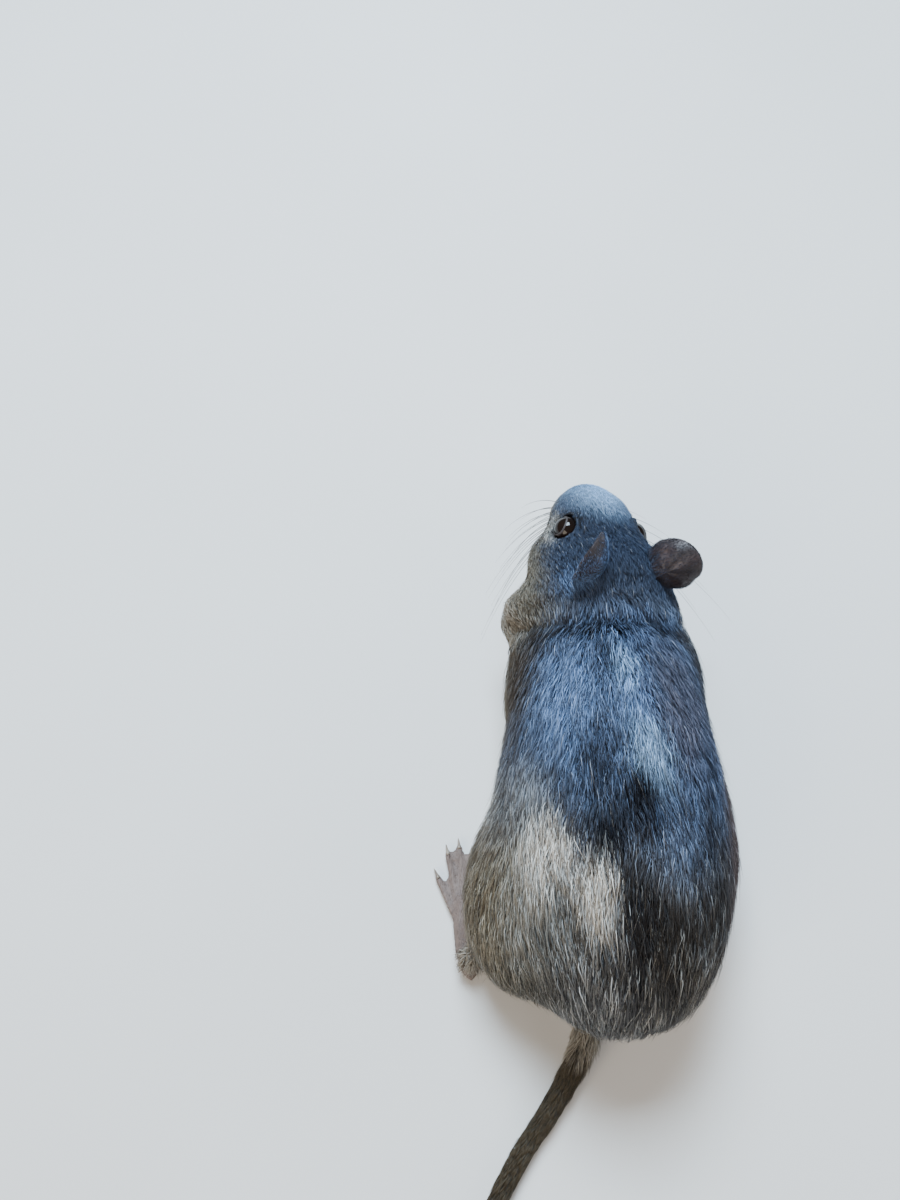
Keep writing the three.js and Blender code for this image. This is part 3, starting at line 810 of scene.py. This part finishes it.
def make_skin():
    skin = joined_flesh()
    mesh = skin.data
    keep_largest(mesh)
    edges = neighbours(mesh)
    points = points_of(mesh)
    where = regions(to_design(points))
    slack = by_region(where, SLACK)
    points = relaxed(points, edges, slack, FIRST_ROUNDS)
    set_points(mesh, points)
    depth = by_region(where, COAT_DEPTH) * MM + CRACK
    points = points - normals_of(mesh) * depth[:, None]
    points = broadened(points, where)
    points = relaxed(points, edges, slack * 0.8, LAST_ROUNDS)
    set_points(mesh, points)
    points = carve(points, normals_of(mesh))
    points = set_lids(points)
    points[:, 2] = np.maximum(points[:, 2], LOWEST_SKIN)
    set_points(mesh, points)
    smooth_all(mesh)
    p = to_design(points)
    add_attribute(mesh, "shade", markings(p, regions(p)))
    unwrap(skin)
    return skin


def unwrap(obj):
    """Lays the surface out flat; the coat's own map takes each root's place from here."""
    only(obj)
    bpy.ops.object.mode_set(mode="EDIT")
    bpy.ops.mesh.select_all(action="SELECT")
    bpy.ops.uv.smart_project(angle_limit=math.radians(70), island_margin=0.003)
    bpy.ops.object.mode_set(mode="OBJECT")


# Eyes, lids, nose, ears, claws and whiskers
def placed_mesh(mesh, matrix):
    """Puts a mesh where it belongs, with its object left at the origin."""
    mesh.transform(matrix)
    mesh.update()


def matrix_towards(centre, axis, twist_up):
    """An axis frame at centre whose z runs along axis and whose x is across twist_up."""
    z = Vector(axis).normalized()
    x = Vector(twist_up).cross(z).normalized()
    y = z.cross(x)
    return Matrix.Translation(Vector(centre)) @ Matrix((x, y, z)).transposed().to_4x4()


EYE_BULGE = 0.045
LID_THICKNESS = 0.36


def make_eyeball(name, at, paint):
    """A ball with a cornea a little raised at its front."""
    bpy.ops.object.select_all(action="DESELECT")
    bpy.ops.mesh.primitive_uv_sphere_add(segments=48, ring_count=32, radius=EYE_RADIUS * MM)
    eye = bpy.context.object
    eye.name = "eyeball_" + name
    for vertex in eye.data.vertices:
        forward = max(0.0, vertex.co.z / (EYE_RADIUS * MM))
        vertex.co *= 1 + EYE_BULGE * forward ** 6
    smooth_all(eye.data)
    placed_mesh(eye.data, at)
    finish_piece(eye, paint, "eye", "eye_" + name)


def make_lid(name, at, paint):
    """The bare rim of the lids, an oval that follows the eye's curve."""
    ring = EYE_RADIUS * math.sin(LID_OPENING)
    bpy.ops.object.select_all(action="DESELECT")
    bpy.ops.mesh.primitive_torus_add(
        major_segments=56, minor_segments=12, major_radius=ring * MM, minor_radius=LID_THICKNESS * MM
    )
    rim = bpy.context.object
    rim.name = "lid_" + name
    for vertex in rim.data.vertices:
        across = vertex.co.x / (ring * MM)
        vertex.co.y *= 0.9 - 0.1 * across * across
        vertex.co.z += (EYE_RADIUS * math.cos(LID_OPENING) - 0.25 * across * across + 0.1) * MM
    smooth_all(rim.data)
    placed_mesh(rim.data, at)
    finish_piece(rim, paint, "ear_skin")


def make_eyes(paint, lid):
    crown = np.array(HEAD.to_3x3() @ Vector((0, 0, 1)))
    for name, side in SIDES:
        at = matrix_towards(eye_centre(side), eye_axis(side), crown)
        make_eyeball(name, at, paint)
        make_lid(name, at, lid)


EAR_UP = Vector((0.36, 0.24, 0.9)).normalized()
EAR_FACING = Vector((0.74, -0.62, 0))
EAR_PLACE = Vector((10.6, 3.2, 8.2))
EAR_HEIGHT = 13.6
EAR_WIDTH = 14.5
EAR_CUP = 3.8
EAR_SUNK = 4.6
EAR_AROUND = 72
EAR_RINGS = 16


def ear_thickness(share):
    """Thick at the stem, thin towards the rim, which rolls a little."""
    return 0.42 - 0.26 * share + 0.12 * math.exp(-((share - 0.97) / 0.04) ** 2)


def ear_point(side, share, angle, face):
    """A point on the ear's front (face 1) or back (face -1), share of the way out from its middle."""
    facing = (EAR_FACING - EAR_UP * EAR_FACING.dot(EAR_UP)).normalized()
    across = EAR_UP.cross(facing)
    height = EAR_HEIGHT + EAR_SUNK
    rise = height * 0.5 * (1 + share * math.sin(angle)) - EAR_SUNK
    low = max(0.0, -math.sin(angle)) * share
    notch = 0.07 * math.exp(-((angle - 0.45) / 0.2) ** 2)
    half = EAR_WIDTH * 0.5 * share * (1 - 0.22 * low) * (1 - notch)
    cup = -EAR_CUP * (1 - share * share) * (1 + 0.3 * low)
    fold = 0.7 * math.exp(-((share - 0.62) / 0.1) ** 2) * max(0.0, math.cos(angle + 2.6))
    ridges = 0.16 * math.cos(7 * angle) * math.sin(math.pi * share)
    sides = abs(math.cos(angle)) * (0.55 + 1.1 * low)
    curl = 1.0 * float(step(0.8, 1.0, np.float64(share))) * sides
    out = cup + fold + ridges + curl + face * ear_thickness(share)
    p = EAR_PLACE + EAR_UP * rise + across * (half * math.cos(angle)) + facing * out
    return head_point(side * p.x, p.y, p.z)


def ear_faces(count):
    """Quads between the rings of an ear, and fans that close its front and back."""
    faces = []
    for i in range(count - 1):
        for j in range(EAR_AROUND):
            a = i * EAR_AROUND + j
            b = i * EAR_AROUND + (j + 1) % EAR_AROUND
            faces.append((a, b, b + EAR_AROUND, a + EAR_AROUND))
    first = count * EAR_AROUND
    for j in range(EAR_AROUND):
        after = (j + 1) % EAR_AROUND
        faces.append((first, after, j))
        faces.append((first + 1, first - EAR_AROUND + j, first - EAR_AROUND + after))
    return faces


def make_ear(name, side, paint):
    shares = [(i + 1) / EAR_RINGS for i in range(EAR_RINGS)]
    angles = [2 * math.pi * j / EAR_AROUND for j in range(EAR_AROUND)]
    rings = [(share, 1) for share in shares] + [(share, -1) for share in reversed(shares)]
    points = [ear_point(side, share, angle, face) for share, face in rings for angle in angles]
    points += [ear_point(side, 0, 0, 1), ear_point(side, 0, 0, -1)]
    mesh = bpy.data.meshes.new("ear_flap_" + name)
    mesh.from_pydata(points, [], ear_faces(len(rings)))
    ear = new_object("ear_flap_" + name, mesh)
    face_outwards(ear)
    smooth_all(mesh)
    unwrap(ear)
    return finish_piece(ear, paint, "ear_skin", "ear_" + name)


def face_outwards(obj):
    edit = bmesh.new()
    edit.from_mesh(obj.data)
    bmesh.ops.recalc_face_normals(edit, faces=edit.faces)
    edit.to_mesh(obj.data)
    edit.free()


NOSE_CLEAR = 9  # how far ahead of the nose the search for its tip starts


def make_nose(paint, tree):
    """A low heart-shaped pad with two comma-shaped nostrils pressed into it, on the tip of the snout."""
    bpy.ops.object.select_all(action="DESELECT")
    bpy.ops.mesh.primitive_uv_sphere_add(segments=64, ring_count=40, radius=1)
    nose = bpy.context.object
    nose.name = "nose_pad"
    back = HEAD.to_3x3() @ Vector((0, 1, 0))
    ahead = Vector(head_point(0, -NOSE_REACH - NOSE_CLEAR, NOSE_HEIGHT))
    found = tree.ray_cast(ahead, back, 0.03)[0]
    tip = float((found - ahead).dot(back)) / MM - NOSE_REACH - NOSE_CLEAR
    for vertex in nose.data.vertices:
        x, y, z = vertex.co
        aside = abs(x) - 0.5
        nostril = math.exp(-((aside / 0.19) ** 2 + ((z - 0.02 - 0.35 * aside) / 0.26) ** 2))
        groove = math.exp(-(x / 0.1) ** 2) * 0.14
        y += (0.75 * nostril + groove) * (y < 0)
        narrow = 1 - 0.35 * max(0.0, -z)
        round_off = 0.22 * x * x
        vertex.co = (
            x * NOSE_PAD[0] * narrow,
            tip + 0.55 + (y + round_off) * NOSE_PAD[1],
            NOSE_HEIGHT + z * NOSE_PAD[2],
        )
    smooth_all(nose.data)
    nose.data.transform(HEAD)
    nose.data.transform(Matrix.Translation(Vector(SHIFT)))
    nose.data.transform(Matrix.Scale(MM, 4))
    nose.data.update()
    return finish_piece(nose, paint, "nose")


def tapered_hair(path, radii, sides):
    """Points and faces of one closed tapered rod along a path."""
    path = np.asarray(path, dtype=float)
    way = np.gradient(path, axis=0)
    way /= np.linalg.norm(way, axis=1, keepdims=True)
    across = np.cross(way, (0.13, 0.2, 0.97))
    across /= np.linalg.norm(across, axis=1, keepdims=True)
    up = np.cross(across, way)
    points = []
    for centre, a, b, radius in zip(path, across, up, radii):
        for j in range(sides):
            angle = 2 * math.pi * j / sides
            points.append(centre + (a * math.cos(angle) + b * math.sin(angle)) * radius)
    faces = []
    for i in range(len(path) - 1):
        for j in range(sides):
            k = (j + 1) % sides
            faces.append((i * sides + j, i * sides + k, (i + 1) * sides + k, (i + 1) * sides + j))
    faces.append(tuple(reversed(range(sides))))
    faces.append(tuple((len(path) - 1) * sides + j for j in range(sides)))
    return points, faces


def joined_rods(name, rods, paint, slot, along=None):
    points = []
    faces = []
    for rod_points, rod_faces in rods:
        start = len(points)
        points += list(rod_points)
        faces += [tuple(start + i for i in face) for face in rod_faces]
    mesh = bpy.data.meshes.new(name)
    mesh.from_pydata(points, [], faces)
    if along is not None:
        add_attribute(mesh, "along", along)
    smooth_all(mesh)
    obj = new_object(name, mesh)
    face_outwards(obj)
    return finish_piece(obj, paint, slot)


WHISKER_ROWS = 4
WHISKERS_IN_ROW = 5
WHISKER_STEPS = 14
WHISKER_SIDES = 5


def whisker_path(side, row, place, t, chance):
    """One whisker's line: the further back on the lip, the longer."""
    root = np.array([side * (4.2 + 0.5 * place), -NOSE_REACH + 4.2 + 1.6 * place, -3.2 - 1.1 * row])
    length = 19 + 5.5 * place + chance.uniform(-2, 2) - 2.5 * row
    rise = 0.22 - 0.2 * row + chance.uniform(-0.06, 0.06)
    out = np.array([side * 0.86, -0.05 + 0.15 * place, rise])
    out /= np.linalg.norm(out)
    bend = np.array([-side * 0.1, 0.32, -0.16]) * length * t ** 2
    path = root + out * length * t + bend
    path = np.array([head_point(*p) for p in path])
    path[:, 2] = np.maximum(path[:, 2], 1.5 * MM)
    return path


def make_whiskers(paint, chance):
    rods = []
    along = []
    t = np.linspace(0, 1, WHISKER_STEPS)[:, None]
    radii = (0.11 * (1 - t[:, 0]) + 0.02) * MM
    for _, side in SIDES:
        for row in range(WHISKER_ROWS):
            for place in range(WHISKERS_IN_ROW):
                path = whisker_path(side, row, place, t, chance)
                rods.append(tapered_hair(path, radii, WHISKER_SIDES))
                along += list(np.repeat(t[:, 0], WHISKER_SIDES))
    return joined_rods("whiskers", rods, paint, "whisker", np.array(along))


# Feet: length, width, each toe's reach and the claw's length; then heel, turn in degrees and side
HIND = (34, 8.6, (0.7, 0.93, 1, 0.96, 0.78), 2.8)
FORE = (13, 6.4, (0.84, 1, 0.98, 0.8), 2.2)
TOE_SPREAD = 1.5
FEET = {
    "hind_left": ((32.5, 51), 5, 1, HIND),
    "hind_right": ((-27, 42), -6, -1, HIND),
    "fore_left": ((13.5, -36), 8, 1, FORE),
    "fore_right": ((-19, -30), -8, -1, FORE),
}


def toe_lines(foot):
    """The root and tip of each toe, in design millimetres."""
    (x, y), turn, side, (size, width, reaches, _) = foot
    spin = Matrix.Rotation(math.radians(turn), 4, "Z")
    for i, share in enumerate(reaches):
        across = side * width * (i / (len(reaches) - 1) - 0.5)
        heel = Matrix.Translation((x, y, 0)) @ spin
        root = heel @ Vector((across * 0.6, -size * 0.45, 1.9))
        tip = heel @ Vector((across * TOE_SPREAD, -size * share, 1.2))
        yield np.array(root), np.array(tip)


def make_claws(paint):
    rods = []
    for foot in FEET.values():
        length = foot[3][3]
        for root, tip in toe_lines(foot):
            way = tip - root
            way[2] = 0
            way /= np.linalg.norm(way)
            t = np.linspace(0, 1, 7)
            path = tip + np.outer(t * length * 1.15 - 0.3, way)
            path[:, 2] = 1.75 - 1.35 * t ** 1.6
            radii = (0.5 * (1 - t) ** 0.7 + 0.05) * MM
            rods.append(tapered_hair(to_part(path), radii, 8))
    return joined_rods("claws", rods, paint, "claw")


# The coat
LOCK_POINTS = 7
PIECE_LOCKS = 18400
COAT_PIECES = 8
BAKE_PATCH = 0.003  # how large one lock is on the OFBake map
# A lock's faces, where its points lie on its patch, and how far along the hair they are
LOCK_FACES = ((0, 1, 4, 3), (1, 2, 5, 4), (2, 0, 3, 5), (3, 4, 6), (4, 5, 6), (5, 3, 6), (2, 1, 0))
LOCK_SPOTS = ((-0.5, -0.5), (0.0, -0.4), (0.5, -0.5), (-0.35, 0.1), (0.0, 0.15), (0.35, 0.1), (0.0, 0.5))
ALONG = np.array([0, 0, 0, 0.5, 0.5, 0.5, 1.0])


def skin_samples(mesh, count, density, chance):
    """Points scattered over a mesh by area and density: place, normal and place on its flat map."""
    mesh.calc_loop_triangles()
    corners = np.empty(len(mesh.loop_triangles) * 3, dtype=np.int32)
    mesh.loop_triangles.foreach_get("vertices", corners)
    corners = corners.reshape(-1, 3)
    loops = np.empty(len(mesh.loop_triangles) * 3, dtype=np.int32)
    mesh.loop_triangles.foreach_get("loops", loops)
    flat = np.empty(len(mesh.loops) * 2, dtype=np.float32)
    mesh.uv_layers.active.data.foreach_get("uv", flat)
    flat = flat.reshape(-1, 2)[loops.reshape(-1, 3)]
    points = points_of(mesh)
    normals = normals_of(mesh)
    a, b, c = (points[corners[:, i]] for i in range(3))
    area = np.linalg.norm(np.cross(b - a, c - a), axis=1) / 2
    weight = area * density[corners].mean(axis=1)
    chosen = chance.choice(len(corners), count, p=weight / weight.sum())
    u, v = chance.random((2, count))
    over = u + v > 1
    u[over] = 1 - u[over]
    v[over] = 1 - v[over]
    share = np.column_stack([1 - u - v, u, v])
    picked = corners[chosen]
    place = np.einsum("ij,ijk->ik", share, points[picked])
    normal = np.einsum("ij,ijk->ik", share, normals[picked])
    spot = np.einsum("ij,ijk->ik", share, flat[chosen])
    return place, normal / np.linalg.norm(normal, axis=1, keepdims=True), spot


def lie_of_coat(p, normal, where):
    """The way the hair lies: from nose to rump, down the flanks and limbs, and along the tail."""
    way = np.zeros_like(p)
    way[:, 1] = 1
    flank = step(44, 16, p[:, 2])
    way[:, 2] -= 0.5 * flank + 0.75 * step(40, 62, p[:, 1]) * (1 - where["tail"])
    way[:, 0] += 0.1 * np.clip((p[:, 0] + 3) / 25, -1, 1)
    head_back = np.array(HEAD.to_3x3() @ Vector((0, 1, -0.05)))
    way += (head_back - way) * where["head"][:, None]
    down = np.array([0, 0.25, -1])
    way += (down - way) * (where["leg"] * 0.6 * (1 - where["head"]))[:, None]
    forward = np.array([0.05, -1, -0.15])
    way += (forward - way) * where["foot"][:, None]
    route = np.column_stack([where["way"], np.zeros(len(p))])
    way += (route - way) * where["tail"][:, None]
    way -= normal * np.sum(way * normal, axis=1, keepdims=True)
    return way / np.maximum(np.linalg.norm(way, axis=1, keepdims=True), 1e-6)


CLUMP = 2.3 * MM
SEARCH = 20 * MM  # how far a point of a lock may be from the skin it is laid on


def on_skin(tree, points, heights):
    """Each point brought over the nearest skin at its own height."""
    out = np.empty_like(points)
    for i, point in enumerate(points):
        found, normal, _, _ = tree.find_nearest(Vector(point), SEARCH)
        out[i] = point if found is None else np.array(found) + np.array(normal) * heights[i]
    return out


def coat_piece(name, points, shade, lot, spots, paint, slot):
    count = len(points)
    sizes = np.tile([len(face) for face in LOCK_FACES], count)
    corners = np.array([corner for face in LOCK_FACES for corner in face])
    mesh = bpy.data.meshes.new(name)
    mesh.vertices.add(count * LOCK_POINTS)
    mesh.vertices.foreach_set("co", points.astype(np.float32).ravel())
    mesh.loops.add(count * len(corners))
    starts = np.arange(count)[:, None] * LOCK_POINTS
    mesh.loops.foreach_set("vertex_index", (starts + corners).astype(np.int32).ravel())
    mesh.polygons.add(len(sizes))
    mesh.polygons.foreach_set("loop_start", (np.cumsum(sizes) - sizes).astype(np.int32))
    mesh.polygons.foreach_set("loop_total", sizes.astype(np.int32))
    mesh.update(calc_edges=True)
    smooth_all(mesh)
    uv = mesh.uv_layers.new(name="OFBake")
    patch = np.array(LOCK_SPOTS)[corners] * BAKE_PATCH
    uv.data.foreach_set("uv", (spots[:, None] + patch).clip(0, 1).astype(np.float32).ravel())
    add_attribute(mesh, "shade", np.repeat(shade, LOCK_POINTS, axis=0))
    add_attribute(mesh, "along", np.tile(ALONG, count))
    add_attribute(mesh, "lot", np.repeat(lot, LOCK_POINTS))
    return finish_piece(new_object(name, mesh), paint, slot)


def clump_lean(place):
    """Which way, and how much, the locks of one clump lean together."""
    broad = lattice_noise(place / CLUMP / 3.1, SEED + 6) - 0.5
    return lattice_noise(place / CLUMP, SEED + 5) - 0.5 + 0.6 * broad


def grow_locks(tree, place, normal, way, length, width, height, free, chance):
    """The points of one lock at each place: thin, pointed, and lying over the skin unless it is free."""
    count = len(place)
    across = np.cross(way, normal)
    lean = (chance.normal(0, 0.1, count) + 0.6 * clump_lean(place)) * (1 - 0.65 * free)
    way = way + across * lean[:, None]
    way /= np.linalg.norm(way, axis=1, keepdims=True)
    bow = chance.normal(0, 0.05, count)[:, None] * across
    reach = length[:, None]
    middle = place + (way * 0.5 + bow) * reach
    tip = place + way * reach
    laid_middle = on_skin(tree, middle, height * 0.75)
    laid_tip = on_skin(tree, tip, height)
    free = free[:, None]
    middle = laid_middle + (middle + normal * height[:, None] * 0.6 - laid_middle) * free
    tip = laid_tip + (tip + normal * height[:, None] * 0.7 - laid_tip) * free
    root = place - normal * 0.25 * MM
    out = np.empty((count, LOCK_POINTS, 3))
    for i, (centre, fullness) in enumerate(((root, 1.0), (middle, 0.85))):
        half = (width * fullness)[:, None] / 2
        out[:, 3 * i] = centre - across * half
        out[:, 3 * i + 1] = centre + normal * half * 0.7
        out[:, 3 * i + 2] = centre + across * half
    out[:, -1] = tip
    return out


# Sizes of the locks in millimetres, and how thickly they grow
LOCK_LENGTH = {
    "body": 10.0, "rump": 13, "leg": 6.0, "foot": 1.5,
    "head": 4.4, "muzzle": 2.1, "tail": 4.4, "tuft": 11,
}
LOCK_WIDTH = {
    "body": 0.25, "rump": 0.29, "leg": 0.24, "foot": 0.11,
    "head": 0.2, "muzzle": 0.14, "tail": 0.21, "tuft": 0.24,
}
LOCK_DENSITY = {
    "body": 1.0, "rump": 0.9, "leg": 1.2, "foot": 1.3,
    "head": 2.6, "muzzle": 4.2, "tail": 2.0, "tuft": 3.2,
}
LENGTH_RANGE = (0.7, 1.15)
WIDTH_RANGE = (0.7, 1.3)
HEIGHT_RANGE = (0.45, 1.0)
GUARD_SHARE = 0.07
GUARD_LONGER = 0.15
GUARD_HIGHER = 0.25
LOWEST_HAIR = 0.05 * MM
SEEN_AT = 0.6  # a lock takes the marking that lies this far along it, where it shows
STRAY = 0.9  # how far locks carry their colour over a marking's edge
PALE_LOCK = 0.14
DARK_LOCK = 0.45


def bare_places(place, normal, p, where):
    """Where no hair grows: the nose pad, the eyes' openings and the soles."""
    bare = where["nose"] > 0.5
    for _, side in SIDES:
        far, _, angle = seen_from_eye(place, side)
        bare |= (far < EYE_REACH * MM) & (angle < LID_OPENING + 0.1)
    return bare | ((where["foot"] > 0.9) & (normal[:, 2] < 0.1) & (p[:, 2] < 2))


def coat_roots(mesh, chance):
    """Where the locks grow: place, normal, and place on the skin's flat map."""
    density = by_region(regions(to_design(points_of(mesh))), LOCK_DENSITY)
    place, normal, spots = skin_samples(mesh, COAT_PIECES * PIECE_LOCKS, density, chance)
    p = to_design(place)
    keep = ~bare_places(place, normal, p, regions(p))
    return place[keep], normal[keep], spots[keep]


def lock_sizes(where, chance):
    """Each lock's length, width and height, with a few longer guard hairs."""
    count = len(where["head"])
    length = by_region(where, LOCK_LENGTH) * MM
    length *= chance.uniform(*LENGTH_RANGE, count)
    width = by_region(where, LOCK_WIDTH) * MM
    width *= chance.uniform(*WIDTH_RANGE, count)
    height = by_region(where, COAT_DEPTH) * MM * chance.uniform(*HEIGHT_RANGE, count)
    guard = (chance.random(count) < GUARD_SHARE) * (1 - where["foot"])
    length *= 1 + GUARD_LONGER * guard
    height *= 1 + GUARD_HIGHER * guard
    return length, width, height


def coat_shades(seen, where, chance):
    """Each lock's colour, with some locks paler or darker, and its lot from 0 to 1."""
    strayed = chance.normal(0, STRAY, seen.shape)
    shade = markings(seen + strayed, {**where, "head_place": in_head(seen) + strayed})
    lot = chance.random(len(seen))
    furred = (1 - where["tail"]) * (1 - where["foot"])
    pale_share = 0.02 + 0.09 * where["rump"]
    shade = blend_colour(shade, CREAM, (lot > 1 - pale_share) * PALE_LOCK * furred)
    shade = blend_colour(shade, NAVY, (lot < 0.16) * DARK_LOCK * (1 - where["foot"]))
    return shade, lot


def make_coat(skin, tree, paint, chance):
    place, normal, spots = coat_roots(skin.data, chance)
    p = to_design(place)
    where = regions(p)
    way = lie_of_coat(p, normal, where)
    length, width, height = lock_sizes(where, chance)
    length, height = clear_of_eyes(place, way, length, height)
    points = grow_locks(tree, place, normal, way, length, width, height, where["tail"], chance)
    points[..., 2] = np.maximum(points[..., 2], LOWEST_HAIR)
    seen = to_design(place + way * (SEEN_AT * length)[:, None])
    shade, lot = coat_shades(seen, where, chance)
    order = chance.permutation(len(place))
    for i, part in enumerate(np.array_split(order, COAT_PIECES)):
        coat_piece(f"coat_{i + 1}", points[part], shade[part], lot[part], spots[part], paint, "coat")


def clear_of_eyes(place, way, length, height):
    """Hairs that would cross an eye are cut short and laid lower."""
    for _, side in SIDES:
        centre = eye_centre(side)
        tip = place + way * length[:, None]
        near = np.linalg.norm((place + tip) / 2 - centre, axis=1) < (EYE_RADIUS + 1.6) * MM
        near |= np.linalg.norm(tip - centre, axis=1) < (EYE_RADIUS + 0.8) * MM
        length = np.where(near, length * 0.4, length)
        height = np.where(near, height * 0.5, height)
    return length, height


EAR_LOCKS = 5200


def make_ear_down(ear, side, paint, chance):
    """Short down over the ear's skin, longer and paler on its back and round its stem; on the left ear's
    back the paleness is strong and blue-grey, painted window light.
    """
    tree = BVHTree.FromObject(ear, bpy.context.evaluated_depsgraph_get())
    place, normal, spots = skin_samples(ear.data, EAR_LOCKS, np.ones(len(ear.data.vertices)), chance)
    facing = np.array(HEAD.to_3x3() @ Vector((side * EAR_FACING.x, EAR_FACING.y, 0)))
    up = np.array(HEAD.to_3x3() @ Vector((side * EAR_UP.x, EAR_UP.y, EAR_UP.z)))
    stem = head_point(side * EAR_PLACE.x, EAR_PLACE.y, EAR_PLACE.z)
    rise = (place - stem) @ up / MM
    behind = step(0.1, -0.3, normal @ facing)
    way = up - normal * (normal @ up)[:, None]
    way /= np.maximum(np.linalg.norm(way, axis=1, keepdims=True), 1e-6)
    count = len(place)
    rise = rise + chance.normal(0, 1.2, count)
    low = step(4.5, -1, rise)
    # painted light: the left ear's back far paler and blue-grey, where the window light falls
    pale = np.clip(0.5 * low + behind * step(13, 6, rise) * (0.85 if side > 0 else 0.3), 0, 1)
    length = (0.8 + 1.2 * pale + 1.2 * low) * MM * chance.uniform(0.7, 1.2, count)
    width = (0.09 + 0.05 * pale) * MM
    height = (0.2 + 0.25 * pale) * MM
    points = grow_locks(tree, place, normal, way, length, width, height, np.zeros(count), chance)
    lot = chance.random(count)
    shade = np.tile(EAR_DOWN, (count, 1)) * (0.6 + 0.8 * lot[:, None])
    shade = blend_colour(shade, WINDOW_LIT_SLATE if side > 0 else CROWN_AND_PAINTED_SHADE, pale * 0.8)
    coat_piece("down_" + ear.name, points, shade, lot, spots, paint, "ear_skin")


FLOOR_SIZE = 12
FLOOR_DROP = 0.0002  # the floor lies this far under the feet


def add_floor(paint):
    bpy.ops.object.select_all(action="DESELECT")
    bpy.ops.mesh.primitive_plane_add(size=FLOOR_SIZE, location=(0, 0, -FLOOR_DROP))
    floor = bpy.context.object
    floor.name = "floor"
    floor.data.materials.append(paint)


def main():
    chance = np.random.default_rng(SEED)
    add_camera()
    add_studio()
    add_floor(floor_paint())
    coat = coat_paint()
    skin = finish_piece(make_skin(), skin_paint(), "coat", *BODY_FLESH, *LIMB_FLESH, *TAIL_FLESH)
    make_eyes(eye_paint(), lid_paint())
    tree = BVHTree.FromObject(skin, bpy.context.evaluated_depsgraph_get())
    make_nose(nose_paint(), tree)
    bare_ear = ear_paint()
    ears = [make_ear(name, side, bare_ear) for name, side in SIDES]
    make_claws(claw_paint())
    make_whiskers(whisker_paint(), chance)
    make_coat(skin, tree, coat, chance)
    for ear, (_, side) in zip(ears, SIDES):
        make_ear_down(ear, side, coat, chance)


main()
